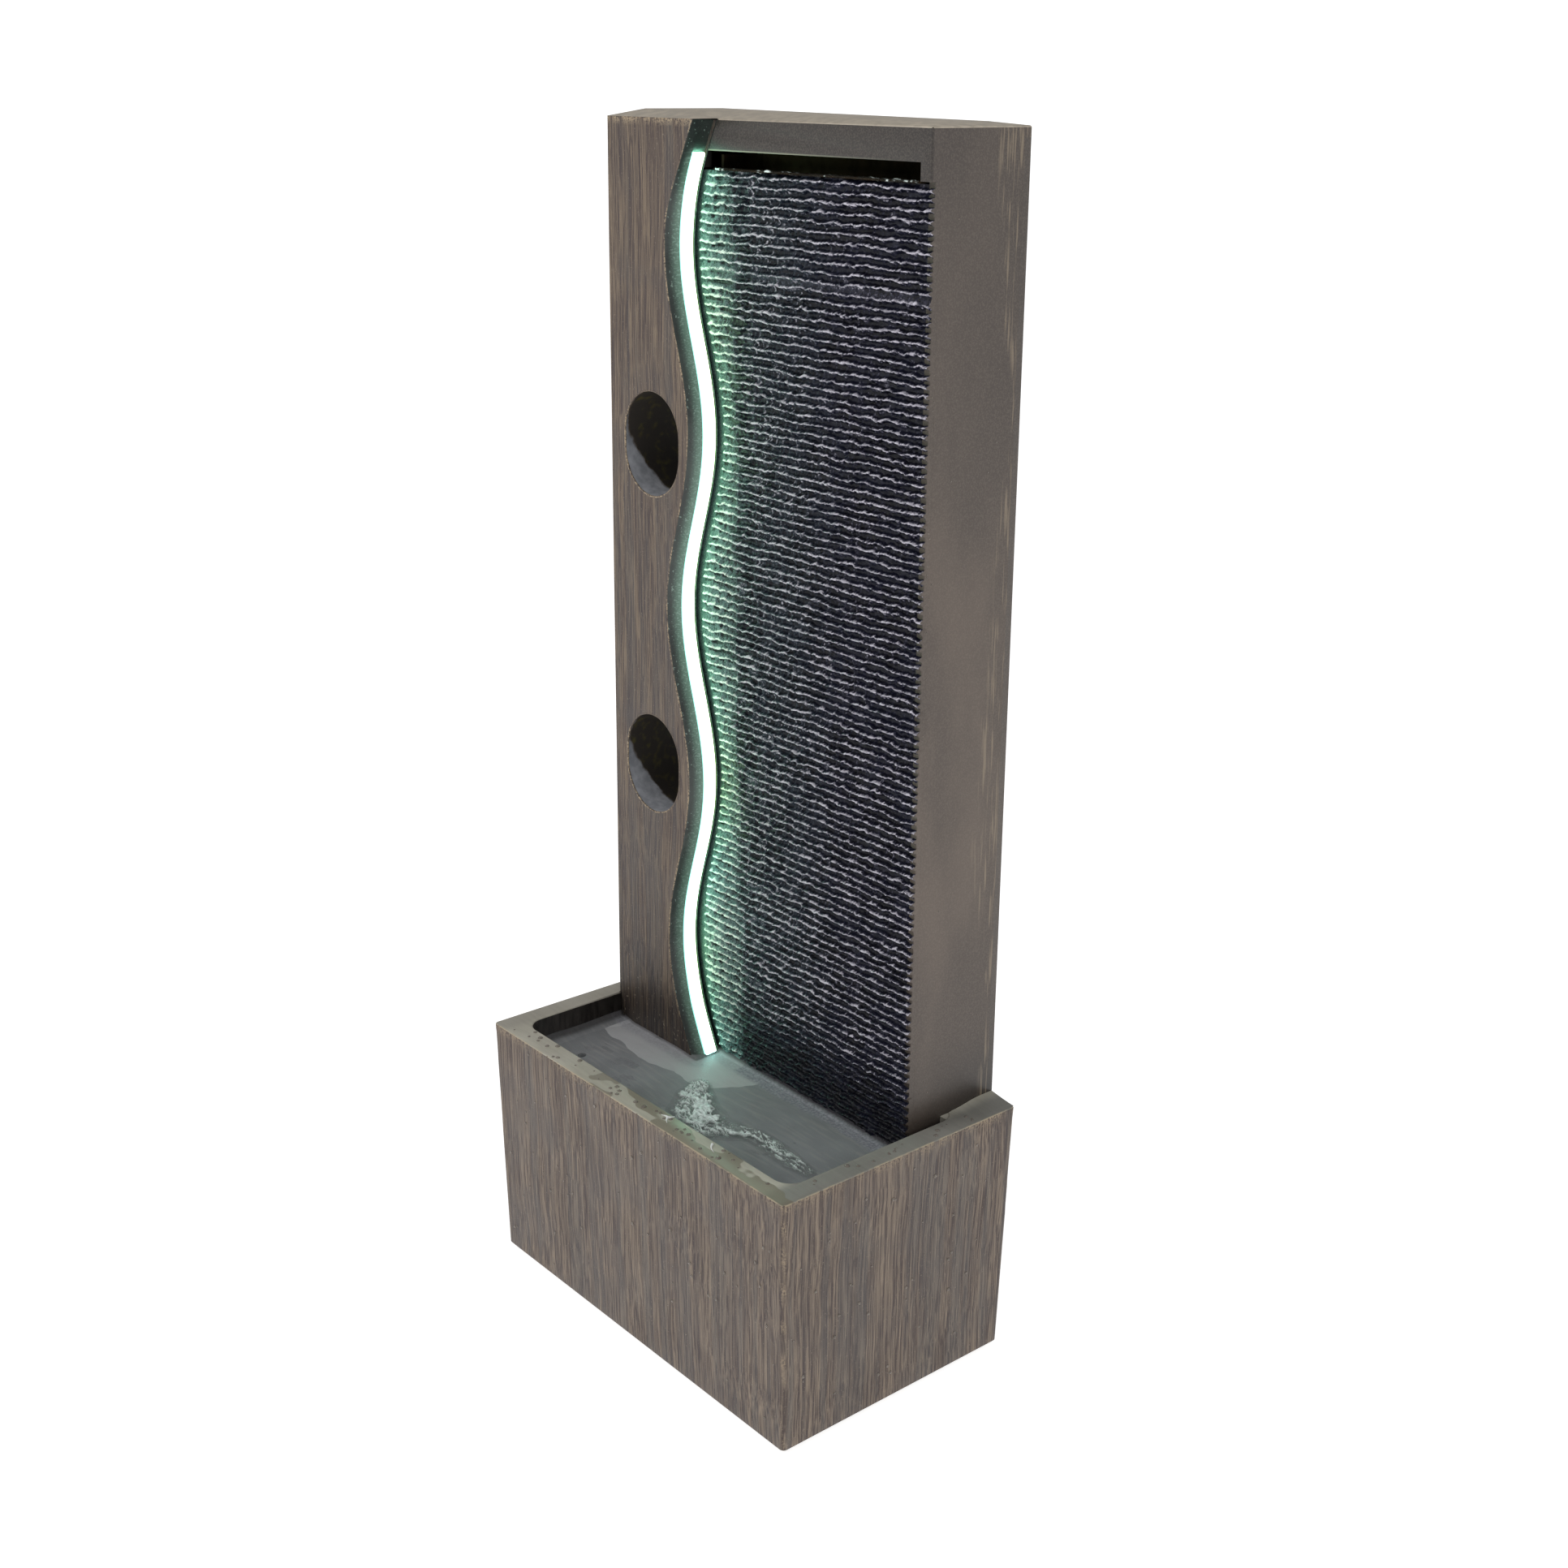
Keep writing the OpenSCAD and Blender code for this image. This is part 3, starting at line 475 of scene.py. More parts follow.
@dataclass(frozen=True)
class Wave:
    """The slab's wavy right edge, as the CAD has it, with a toe drawn out at its foot."""

    width: float = 97 * MM
    swing: float = 14.5 * MM
    pitch: float = 293 * MM
    crest: float = 740 * MM
    flare: float = 8 * MM
    flare_foot: float = 924 * MM
    flare_len: float = 60 * MM
    toe: float = 7 * MM
    toe_from: float = 242 * MM
    toe_len: float = 46 * MM

    def x(self, z: Array) -> Array:
        """Finds where the edge runs.

        Args:
            z: Heights.

        Returns:
            X at each height.
        """
        turn = np.cos(2 * np.pi * (z - self.crest) / self.pitch)
        rise = np.maximum(0, (z - self.flare_foot) / self.flare_len)
        sink = np.maximum(0, (self.toe_from - z) / self.toe_len)
        return SLAB_LEFT + self.width + self.swing * turn + self.flare * rise ** 2 + self.toe * sink ** 1.5


WAVE = Wave()


# ---- Finishes ----

def tone(text: str) -> tuple[float, ...]:
    """Turns an sRGB hex colour, such as "#6b625b", to linear red, green and blue and a full alpha."""
    parts = [int(text[i:i + 2], 16) / 255 for i in (1, 3, 5)]
    return *(c / 12.92 if c <= 0.04045 else ((c + 0.055) / 1.055) ** 2.4 for c in parts), 1.0


def add(tree: bpy.types.NodeTree, kind: str, links: Any = (), out: Any = 0, **settings: Any) -> Socket:
    """Adds a node with its settings and its inputs.

    Args:
        tree: The material's node tree.
        kind: The node's type, without its ShaderNode prefix.
        links: What its inputs get, in order or by name: a value, a hex colour or an output.
        out: Which of the node's outputs is wanted.
        settings: The node's own properties.

    Returns:
        The output.
    """
    node = tree.nodes.new("ShaderNode" + kind)
    for name, value in settings.items():
        setattr(node, name, value)
    for name, value in links.items() if isinstance(links, dict) else enumerate(links):
        if isinstance(value, Socket):
            tree.links.new(value, node.inputs[name])
        else:
            node.inputs[name].default_value = tone(value) if isinstance(value, str) else value
    return node.outputs[out] if node.outputs else None


class Surface:
    """A material in the making: its colours are laid coat by coat, then it is finished."""

    def __init__(self, name: str) -> None:
        """Starts the material, with each place on the piece at hand.

        Args:
            name: The material's name.
        """
        self.material = bpy.data.materials.new(name)
        self.material.use_nodes = True
        self.tree = self.material.node_tree
        self.tree.nodes.clear()
        self.spot = self.add("TexCoord", out="Object")

    def add(self, kind: str, links: Any = (), out: Any = 0, **settings: Any) -> Socket:
        """Adds a node to this material, as the function of that name does, and returns its output."""
        return add(self.tree, kind, links, out, **settings)

    def coat(self, under: Any, over: Any, share: Any, *span: float) -> Socket:
        """Lays one colour over another.

        Args:
            under: The colour below.
            over: The colour on top.
            share: How thick the top one lies, or a pattern that says where it lies.
            span: The pattern's values where the coat begins and is full, and the share at each.

        Returns:
            The colour that shows.
        """
        if span:
            share = self.add("MapRange", (share, *span), **SOFT)
        return self.add("Mix", {0: share, 6: under, 7: over}, 2, data_type="RGBA")

    def overlap(self, *parts: Any) -> Socket:
        """Finds where several patterns lie at once, as their product.

        Args:
            parts: Each a number or a pattern, or a pattern with its span, as coat takes it.

        Returns:
            The product.
        """
        whole = None
        for part in parts:
            share = self.add("MapRange", part, **SOFT) if isinstance(part, tuple) else part
            whole = share if whole is None else self.add("Math", (whole, share), operation="MULTIPLY")
        return whole

    def warped(self, spot: Socket, reach: float, cell: float) -> Socket:
        """Bends a pattern's coordinates.

        Args:
            spot: The coordinates.
            reach: How far they move at most, in metres.
            cell: How wide each bend is, in metres.

        Returns:
            The bent coordinates.
        """
        bend = self.add("TexNoise", {"Vector": spot, "Scale": 1 / cell, "Detail": 1.0}, "Color")
        middle = self.add("VectorMath", (bend, (0.5, 0.5, 0.5)), operation="SUBTRACT")
        return self.add("VectorMath", (middle, (2 * reach, 2 * reach, 0), spot), operation="MULTIPLY_ADD")

    def finish(self, colour: Any, rough: Any, specular: float = 0.5, *bumps: tuple[Any, float, float],
               **more: Any) -> bpy.types.Material:
        """Puts the shader over the coats.

        Args:
            colour: Its colour.
            rough: Its roughness.
            specular: Its specular level.
            bumps: Patterns that raise it, each with its strength and its height in metres.
            more: Its other inputs, by name, with an underscore for each space.

        Returns:
            The material.
        """
        links = {"Base Color": colour, "Roughness": rough, "Specular IOR Level": specular}
        links.update({name.replace("_", " "): value for name, value in more.items()})
        for height, strength, distance in bumps:
            below = {"Normal": links["Normal"]} if "Normal" in links else {}
            links["Normal"] = self.add(
                "Bump", {"Height": height, "Strength": strength, "Distance": distance, **below})
        self.add("OutputMaterial", (self.add("BsdfPrincipled", links),))
        return self.material


@dataclass(frozen=True)
class BrushedResin:
    """Stone-effect cast resin, painted taupe and brushed upright while wet.

    The brush leaves wavering lines 1 to 3 mm apart, tan on top and purple-brown in the grooves,
    with a slate cast here and there. The paint has worn to a light tan along the edges.
    """

    name: str = "brushed taupe painted cast resin"
    base: str = "#6e6358"
    groove: str = "#433838"
    ridge: str = "#918272"
    slate: str = "#57595a"
    worn: str = "#ac9a80"
    damp_foot: float = 0.0

    def build(self) -> bpy.types.Material:
        """Lays the coats and the shader.

        Returns:
            The material.
        """
        look = Surface(self.name)
        bent = look.warped(look.warped(look.spot, 5 * MM, 110 * MM), 0.7 * MM, 16 * MM)
        long = look.add("Mapping", {"Vector": bent, "Scale": (1, 1, 0.018)})
        # Brush lines 1.4 mm apart and about 80 mm long, hairs of the brush 0.7 mm apart, and bands 13 mm
        # wide where the paint turned slate
        lines = look.add("TexNoise", {"Vector": long, "Scale": 720.0, "Detail": 1.5, "Roughness": 0.55})
        hairs = look.add("TexNoise", {"Vector": long, "Scale": 1400.0, "Detail": 2.0})
        bands = look.add("TexNoise", {"Vector": long, "Scale": 75.0, "Detail": 2.0})
        # Clouds of stain, 60 mm across, and sand in the cast, 1.5 mm
        clouds = look.add("TexNoise", {"Vector": look.spot, "Scale": 16.0, "Detail": 3.0})
        sand = look.add("TexNoise", {"Vector": look.spot, "Scale": 650.0, "Detail": 2.0})
        grain = look.add("Attribute", out="Fac", attribute_name="grain")
        wear = look.add("Attribute", out="Fac", attribute_name="wear")
        colour = look.coat(self.groove, self.ridge, lines, 0.38, 0.6)
        colour = look.coat(colour, self.base, 0.3)
        for over, pattern, *span in (
                (self.slate, bands, 0.46, 0.62, 0.0, 0.42), (self.groove, hairs, 0.4, 0.66, 0.3, 0.0),
                (self.ridge, hairs, 0.5, 0.7, 0.0, 0.4), ("#40383a", grain, 0.3, 0.62, 0.42, 0.0),
                ("#4c4644", clouds, 0.36, 0.5, 0.3, 0.0), ("#96897a", sand, 0.64, 0.72, 0.0, 0.4)):
            colour = look.coat(colour, over, pattern, *span)
        colour = look.coat(colour, self.worn, look.overlap(wear, (sand, 0.38, 0.6)))
        rough = look.add("MapRange", (clouds, 0.3, 0.7, 0.5, 0.66), **SOFT)
        if self.damp_foot:
            height = look.add("SeparateXYZ", (look.spot,), "Z")
            ragged = look.add("MapRange", (lines, 0.3, 0.7, -0.02, 0.02), **SOFT)
            edge = look.add("Math", (height, ragged), operation="ADD")
            foot = self.damp_foot
            damp = look.add("MapRange", (edge, foot - 0.075, foot + 0.04, 0.66, 0.0), **SOFT)
            wet = look.add("MapRange", (edge, foot - 0.085, foot + 0.02, 0.3, 0.58), **SOFT)
            rough = look.add("Math", (rough, wet), operation="MINIMUM")
            colour = look.coat(colour, "#1d1b1a", damp)
            # Flecks of limescale where the splash dries, 2 mm
            flecks = look.add("TexNoise", {"Vector": look.spot, "Scale": 380.0, "Detail": 1.0})
            colour = look.coat(colour, "#a89c8c", look.overlap((flecks, 0.68, 0.72), damp))
        return look.finish(colour, rough, 0.3, (lines, 0.9, 0.0007), (hairs, 0.5, 0.0003),
                           (sand, 0.3, 0.0003))


@dataclass(frozen=True)
class SmoothResin:
    """The same painted resin where the mould was smooth: a soft satin, clouded by hand.

    It shows broad darker clouds, a browner strip that was brushed by the back edge, and darkening
    near the basin, partly damp and partly painted shade where the tower meets the rim.
    """

    name: str = "smooth taupe painted cast resin"
    base: str = "#5b514a"
    dark: str = "#453e3a"
    light: str = "#685d54"
    strip: bool = True

    def build(self) -> bpy.types.Material:
        """Lays the coats and the shader.

        Returns:
            The material.
        """
        look = Surface(self.name)
        x, y, z = (look.add("SeparateXYZ", (look.spot,), axis) for axis in "XYZ")
        # Clouds of stain, 75 mm across and taller than wide, and sprayed paint, 1.2 mm
        wide = look.add("Mapping", {"Vector": look.spot, "Scale": (1, 1, 0.45)})
        clouds = look.add("TexNoise", {"Vector": wide, "Scale": 13.0, "Detail": 3.0})
        spray = look.add("TexNoise", {"Vector": look.spot, "Scale": 850.0, "Detail": 2.0})
        colour = look.coat(self.dark, self.light, clouds, 0.35, 0.68)
        colour = look.coat(colour, self.base, 0.5)
        colour = look.coat(colour, "#443e3b", z, 0.6, 0.98, 0.0, 0.66)
        # The lintel was sprayed a shade darker, and its lower edge is pale, partly worn and partly a painted
        # highlight where it catches the light
        colour = look.coat(colour, "#2f2b29", y, 0.0255, 0.0275, 0.84, 0.0)
        worn = look.overlap((z, 0.9594, 0.9600), (z, 0.9606, 0.9614, 1.0, 0.0), (y, 0.0262, 0.0270, 0.8, 0.0),
                            (x, -0.07, 0.161, 1.0, 0.0))
        colour = look.coat(colour, "#9da08a", worn)
        colour = look.coat(colour, "#8a8074", spray, 0.4, 0.7, 0.0, 0.16)
        # Darker near the basin, more so towards the back: partly damp, partly painted shade where the tower
        # meets the rim
        damp = look.add("MapRange", (z, 0.20, 0.30, 0.85, 0.0), **SOFT)
        colour = look.coat(colour, "#191817", look.overlap(damp, (y, 0.03, 0.115, 0.55, 1.0)))
        height = spray
        if self.strip:
            # Brush strokes by the back edge, 2 mm apart
            long = look.add("Mapping", {"Vector": look.spot, "Rotation": (0.12, 0, 0), "Scale": (1, 1, 0.05)})
            strokes = look.add("TexNoise", {"Vector": long, "Scale": 520.0, "Detail": 2.0})
            ragged = look.add("MapRange", (clouds, 0.3, 0.7, -0.012, 0.012), **SOFT)
            back = look.add("Math", (y, ragged), operation="ADD")
            strip = look.add("MapRange", (back, 0.098, 0.104), **SOFT)
            colour = look.coat(colour, "#8d7f6c", look.overlap(strip, (strokes, 0.5, 0.68, 0.0, 0.6)))
            height = look.add("Mix", {0: strip, 2: spray, 3: strokes}, data_type="FLOAT")
        rough = look.add("MapRange", (damp, 0.0, 0.8, 0.5, 0.3), **SOFT)
        return look.finish(colour, rough, 0.4, (height, 0.25, 0.0003))


@dataclass(frozen=True)
class WetRimResin:
    """Slate-tinted paint on the flat rim: a soft satin, with puddles along the front.

    Where water lies the paint turns a shade browner and darker and mirrors the light, with a
    hard outline. The right side of the rim is darker.
    """

    name: str = "slate painted rim with water on it"
    base: str = "#b5b1a2"
    light: str = "#c4c0b2"
    wet: str = "#7f7767"

    def build(self) -> bpy.types.Material:
        """Lays the coats and the shader.

        Returns:
            The material.
        """
        look = Surface(self.name)
        x, y = (look.add("SeparateXYZ", (look.spot,), axis) for axis in "XY")
        wear = look.add("Attribute", out="Fac", attribute_name="wear")
        # Brush marks along the rim, 3 mm apart, clouds of 70 mm, and puddles 45 mm long
        marks = look.add("Mapping", {"Vector": look.spot, "Scale": (0.1, 1, 1)})
        brush = look.add("TexNoise", {"Vector": marks, "Scale": 330.0, "Detail": 2.0})
        clouds = look.add("TexNoise", {"Vector": look.spot, "Scale": 14.0, "Detail": 2.0})
        long = look.add("Mapping", {"Vector": look.spot, "Scale": (0.6, 1, 1)})
        puddles = look.add("TexNoise", {"Vector": long, "Scale": 36.0, "Detail": 2.0, "Roughness": 0.4})
        front = look.add("MapRange", (y, -0.103, -0.098, 0.0, -0.5), **SOFT)
        right = look.add("MapRange", (x, -0.12, -0.02, -0.2, 0.06), **SOFT)
        zone = look.add("Math", (front, right), operation="ADD")
        wet = look.add("MapRange", (look.add("Math", (puddles, zone), operation="ADD"), 0.52, 0.535), **SOFT)
        colour = look.coat(self.base, self.light, clouds, 0.35, 0.65)
        colour = look.coat(colour, "#5c5a56", brush, 0.35, 0.7, 0.0, 0.12)
        colour = look.coat(colour, "#595b5e", x, 0.168, 0.182, 0.0, 0.62)
        colour = look.coat(colour, "#857e78", x, -0.185, -0.172, 0.35, 0.0)
        colour = look.coat(colour, self.wet, look.overlap(wet, 0.75))
        colour = look.coat(colour, "#b9ab91", look.overlap(wear, 0.8))
        height = look.add("Mix", {0: wet, 2: brush, 3: 1.0}, data_type="FLOAT")
        rough = look.add("MapRange", (wet, 0.0, 1.0, 0.45, 0.3), **SOFT)
        return look.finish(colour, rough, 0.3, (height, 0.2, 0.0004))


@dataclass(frozen=True)
class TrayResin:
    """The tray's paint: blue-grey, brushed in wide arcs, darker where the water runs.

    A rough lavender fillet lies along the foot of the tower, and a dry patch with a hard, wavy
    outline lies in front of the slab.
    """

    name: str = "slate painted tray"
    wet: str = "#898b8d"
    dry: str = "#bcbdbe"
    fillet: str = "#a1a0a9"
    dark: str = "#343130"

    def build(self) -> bpy.types.Material:
        """Lays the coats and the shader.

        Returns:
            The material.
        """
        look = Surface(self.name)
        dry, fillet, shade = (look.add("Attribute", out="Fac", attribute_name=name)
                              for name in ("dry", "fillet", "shade"))
        # Wide brush arcs 4 mm apart, clouds of 50 mm, and grit of 2 mm
        arcs = look.add("Mapping", {"Vector": look.warped(look.spot, 12 * MM, 120 * MM),
                                    "Rotation": (0, 0, 0.5), "Scale": (0.12, 1, 1)})
        brush = look.add("TexNoise", {"Vector": arcs, "Scale": 260.0, "Detail": 2.0})
        clouds = look.add("TexNoise", {"Vector": look.spot, "Scale": 20.0, "Detail": 3.0})
        grit = look.add("TexNoise", {"Vector": look.spot, "Scale": 480.0, "Detail": 3.0, "Roughness": 0.6})
        dry_edge = look.add("MapRange", (dry, 0.42, 0.5), **SOFT)
        colour = look.coat(self.wet, "#96989b", clouds, 0.3, 0.7)
        colour = look.coat(colour, "#adaba9", brush, 0.45, 0.75, 0.0, 0.4)
        colour = look.coat(colour, self.dry, dry_edge)
        rubbed = look.coat(look.coat("#6a6a73", "#bdbdc6", grit, 0.38, 0.66), self.fillet, 0.5)
        colour = look.coat(colour, rubbed, look.overlap(fillet, 0.9))
        colour = look.coat(colour, self.dark, shade)
        both = look.add("Math", (dry_edge, fillet), operation="MAXIMUM")
        rough = look.add("MapRange", (both, 0.0, 1.0, 0.42, 0.55), **SOFT)
        return look.finish(colour, rough, 0.22, (grit, 0.3, 0.0005))


@dataclass(frozen=True)
class CascadeResin:
    """Rough cast ribs under running water: near-black grooves and pale, bubbly crests.

    The near-black of the grooves is partly painted shade; the crests carry a bloom of limescale
    and are partly painted highlights where they catch the light; the film by the light strip is green,
    with the strip's light painted into it.
    """

    name: str = "wet black painted resin with lime on the crests"
    groove: str = "#060610"
    flank: str = "#2c2c3d"
    crest: str = "#cac6d1"
    film: str = "#e2ebe0"

    def build(self) -> bpy.types.Material:
        """Lays the coats and the shader.

        Returns:
            The material.
        """
        look = Surface(self.name)
        crest, film = (look.add("Attribute", out="Fac", attribute_name=name) for name in ("crest", "film"))
        # Lime grit of 1.3 mm, and clouds of 22 mm
        grit = look.add("TexNoise", {"Vector": look.spot, "Scale": 760.0, "Detail": 2.0, "Roughness": 0.7})
        clouds = look.add("TexNoise", {"Vector": look.spot, "Scale": 45.0, "Detail": 3.0})
        rubbed = look.add("MapRange", (grit, 0.3, 0.7, -0.18, 0.18), **SOFT)
        lifted = look.add("Math", (crest, rubbed), operation="ADD")
        # The grooves' near-black is partly painted shade, and the pale crests are partly painted highlights
        colour = look.coat(self.groove, self.flank, lifted, 0.12, 0.5)
        colour = look.coat(colour, self.crest, lifted, 0.42, 0.86)
        colour = look.coat(colour, "#171b33", clouds, 0.35, 0.6, 0.3, 0.0)
        # Painted light of the strip: the film's green, laid where the film attribute says, fading away from
        # the strip
        tint = look.coat("#070c0b", "#566f6c", lifted, 0.0, 0.42)
        tint = look.coat(tint, self.film, lifted, 0.45, 1.0)
        rough = look.add("MapRange", (grit, 0.3, 0.7, 0.24, 0.5), **SOFT)
        return look.finish(look.coat(colour, tint, film), rough, 0.2, (grit, 0.5, 0.0006))


@dataclass(frozen=True)
class SleeveLining:
    """Inside of a window: a slate band by the mouth, then black plastic, with light and shadow painted in.

    The band is partly slate paint and partly painted light where light reaches in, and the black is partly
    painted shadow; the band's edge runs deeper at the foot of the window, as the light falls from above.
    """

    middle_z: float

    @property
    def name(self) -> str:
        """Returns the material's name, which tells the windows apart."""
        return f"black plastic with slate overspray at {self.middle_z:.3f}"

    def build(self) -> bpy.types.Material:
        """Lays the coats and the shader.

        Returns:
            The material.
        """
        look = Surface(self.name)
        y, z = (look.add("SeparateXYZ", (look.spot,), axis) for axis in "YZ")
        # The ragged edge of the band's painted light, 11 mm, and grime, 7 mm
        ragged = look.add("TexNoise", {"Vector": look.spot, "Scale": 90.0, "Detail": 3.0})
        grime = look.add("TexNoise", {"Vector": look.spot, "Scale": 140.0, "Detail": 4.0})
        reach = look.add("MapRange", (z, self.middle_z - 0.045, self.middle_z + 0.02, 0.026, 0.002), **SOFT)
        ragged = look.add("MapRange", (ragged, 0.3, 0.7, -0.0012, 0.0012), **SOFT)
        reach = look.add("Math", (reach, ragged), operation="ADD")
        depth = look.add("Math", (y, reach), operation="SUBTRACT")
        # The band, partly painted light, turns darker towards its top as painted shade, where the wall faces
        # down
        spray = look.coat("#96999f", "#b4b6bc", grime, 0.3, 0.7)
        spray = look.coat(spray, "#4a4d53", z, self.middle_z - 0.03, self.middle_z + 0.01, 0.0, 0.62)
        # Past the band's edge: black plastic, partly painted shadow
        black = look.coat("#322e2a", "#4a4529", grime, 0.5, 0.75)
        colour = look.coat(spray, black, depth, -0.0006, 0.0006)
        rim = look.overlap((depth, -0.0022, -0.0004), (depth, 0.0002, 0.002, 1.0, 0.0), 0.6)
        return look.finish(look.coat(colour, "#4a4036", rim), 0.55, 0.2)


@dataclass(frozen=True)
class LitSilicone:
    """Milky silicone over the light chips: so bright that it reads as white.

    Its rounded edges are dimmer and show the tint, cyan at the slab and yellow-green at the ribs.
    The tint drifts along the strip between green, yellow-green and blue.
    """

    name: str = "lit milky silicone"
    glow: str = "#b2fcd6"
    warm: str = "#c6ffb2"
    cold: str = "#a0f2ea"
    power: float = 6.2

    def build(self) -> bpy.types.Material:
        """Lays the coats and the shader.

        Returns:
            The material.
        """
        look = Surface(self.name)
        across, drift = (look.add("Attribute", out="Fac", attribute_name=name)
                         for name in ("across", "drift"))
        # Milk in the silicone, 2 mm grains
        milk = look.add("TexNoise", {"Vector": look.spot, "Scale": 500.0, "Detail": 2.0})
        tint = look.coat(self.glow, self.warm, drift, 0.0, 1.0)
        tint = look.coat(tint, self.cold, drift, 0.0, -1.0)
        rim = look.add("MapRange", (look.add("Math", (across,), operation="ABSOLUTE"), 0.72, 1.0), **SOFT)
        fringe = look.coat("#8ffbe6", "#dcffa0", across, -0.2, 0.2)
        power = look.add("MapRange", (rim, 0.0, 1.0, self.power, 1.0), **SOFT)
        return look.finish(look.coat("#e2efe8", "#f2faf5", milk), 0.45, Emission_Strength=power,
                           Emission_Color=look.coat(tint, fringe, rim))


@dataclass(frozen=True)
class ClearWater:
    """Running water over a dark tray: dark, clear and mirror smooth, with white where the foam attribute
    lies: foam where it breaks, painted reflections and painted glints.
    """

    name: str = "clear shallow water"
    tint: str = "#50544f"
    alpha: float = 0.09

    def build(self) -> bpy.types.Material:
        """Lays the coats and the shader.

        Returns:
            The material.
        """
        look = Surface(self.name)
        foam = look.add("Attribute", out="Fac", attribute_name="foam")
        # Ripples 5 mm from crest to crest, and streaks in the white of 2 mm
        ripple = look.add("TexNoise", {"Vector": look.spot, "Scale": 200.0, "Detail": 2.0, "Distortion": 0.3})
        streak = look.add("TexNoise", {"Vector": look.spot, "Scale": 420.0, "Detail": 3.0, "Distortion": 0.8})
        # White: foam, and the painted reflections and glints laid in the foam attribute
        white = look.overlap(foam, (streak, 0.36, 0.56, 0.8, 1.0))
        alpha = look.add("MapRange", (white, 0.0, 1.0, self.alpha, 0.95), **SOFT)
        rough = look.add("MapRange", (white, 0.0, 1.0, 0.14, 0.3), **SOFT)
        return look.finish(look.coat(self.tint, "#e6f2ee", white), rough, 0.5, (ripple, 0.12, 0.001),
                           Alpha=alpha, IOR=1.333)


@dataclass(frozen=True)
class Droplet:
    """A bead of clean water, which shows as a bright point over a dark ring."""

    name: str = "bead of water"

    def build(self) -> bpy.types.Material:
        """Lays the coats and the shader.

        Returns:
            The material.
        """
        look = Surface(self.name)
        # Silt in the water, in clouds of 3 mm
        tint = look.add("TexNoise", {"Vector": look.spot, "Scale": 300.0})
        return look.finish(look.coat("#6f665f", "#a39a90", tint), 0.04, 0.9, IOR=1.333, Alpha=0.62)


@dataclass(frozen=True)
class Moulded:
    """Injection-moulded, cut or wound stock for the parts inside, with a fine surface of its own."""

    name: str
    low: str
    high: str
    rough: float = 0.5
    metal: float = 0.0
    grit: float = 600.0
    stretch: Spot = (1, 1, 1)
    lift: float = 0.15
    alpha: float = 1.0

    def build(self) -> bpy.types.Material:
        """Lays the coats and the shader.

        Returns:
            The material.
        """
        look = Surface(self.name)
        # The surface's own grain, 1.7 mm at 600 to the metre, drawn out where the stock is brushed or wound
        drawn = look.add("Mapping", {"Vector": look.spot, "Scale": self.stretch})
        grain = look.add("TexNoise", {"Vector": drawn, "Scale": self.grit, "Detail": 3.0})
        smoothest, roughest = self.rough * 0.85, min(1.0, self.rough * 1.15)
        rough = look.add("MapRange", (grain, 0.3, 0.7, smoothest, roughest), **SOFT)
        return look.finish(look.coat(self.low, self.high, grain, 0.3, 0.7), rough, 0.5,
                           (grain, self.lift, 0.0003), Metallic=self.metal, Alpha=self.alpha)


@dataclass(frozen=True)
class WetTrough:
    """Black moulded polypropylene, with dim green light painted in where light gets in.

    The light strip reaches its left end, so the painted light is strongest there.
    """

    name: str = "black polypropylene with an olive film"

    def build(self) -> bpy.types.Material:
        """Lays the coats and the shader.

        Returns:
            The material.
        """
        look = Surface(self.name)
        x, y = (look.add("SeparateXYZ", (look.spot,), axis) for axis in "XY")
        # Patches 12 mm across, in the plastic's colour and in the painted light
        film = look.add("TexNoise", {"Vector": look.spot, "Scale": 85.0, "Detail": 3.0})
        # Painted light from the strip: dull green towards the back of the trough, strongest at its left end
        painted_olive_light = look.overlap((y, 0.056, 0.073), (x, 0.12, -0.08, 0.1, 1.0), (film, 0.3, 0.6, 0.55, 1.0))
        colour = look.coat("#1a140e", "#2a2117", film, 0.35, 0.7)
        return look.finish(look.coat(colour, "#45432f", painted_olive_light), 0.85, 0.03)


@dataclass(frozen=True)
class StepWall:
    """The slab's wavy side face: smooth dark paint, wet by the splash beside the light strip, with the
    strip's green light painted in.
    """

    name: str = "wet dark painted resin beside the light"

    def build(self) -> bpy.types.Material:
        """Lays the coats and the shader.

        Returns:
            The material.
        """
        look = Surface(self.name)
        y, z = (look.add("SeparateXYZ", (look.spot,), axis) for axis in "YZ")
        # Clouds of 25 mm, beads of spray of 2 mm, and slanted scratches of the brush, 1 mm apart
        clouds = look.add("TexNoise", {"Vector": look.spot, "Scale": 40.0, "Detail": 4.0})
        beads = look.add("TexNoise", {"Vector": look.spot, "Scale": 420.0, "Detail": 1.0})
        slanted = look.add("Mapping", {"Vector": look.spot, "Rotation": (0.6, 0, 0), "Scale": (1, 0.12, 1)})
        scratch = look.add("TexNoise", {"Vector": slanted, "Scale": 900.0, "Detail": 2.0})
        # Painted light: the strip's green glow is painted into the wet paint, more so close to it, and the
        # scratches show pale in it
        lit = look.overlap((y, 0.002, 0.0104, 0.0, 0.8), (z, 0.948, 0.968, 1.0, 0.0))
        colour = look.coat("#262c2a", "#353e3a", clouds, 0.3, 0.7)
        colour = look.coat(colour, "#749886", lit)
        colour = look.coat(colour, "#93b3a4", look.overlap(lit, (scratch, 0.5, 0.68)))
        colour = look.coat(colour, "#9fb8ac", beads, 0.68, 0.72, 0.0, 0.4)
        return look.finish(colour, 0.32, 0.5, (beads, 0.4, 0.0006))


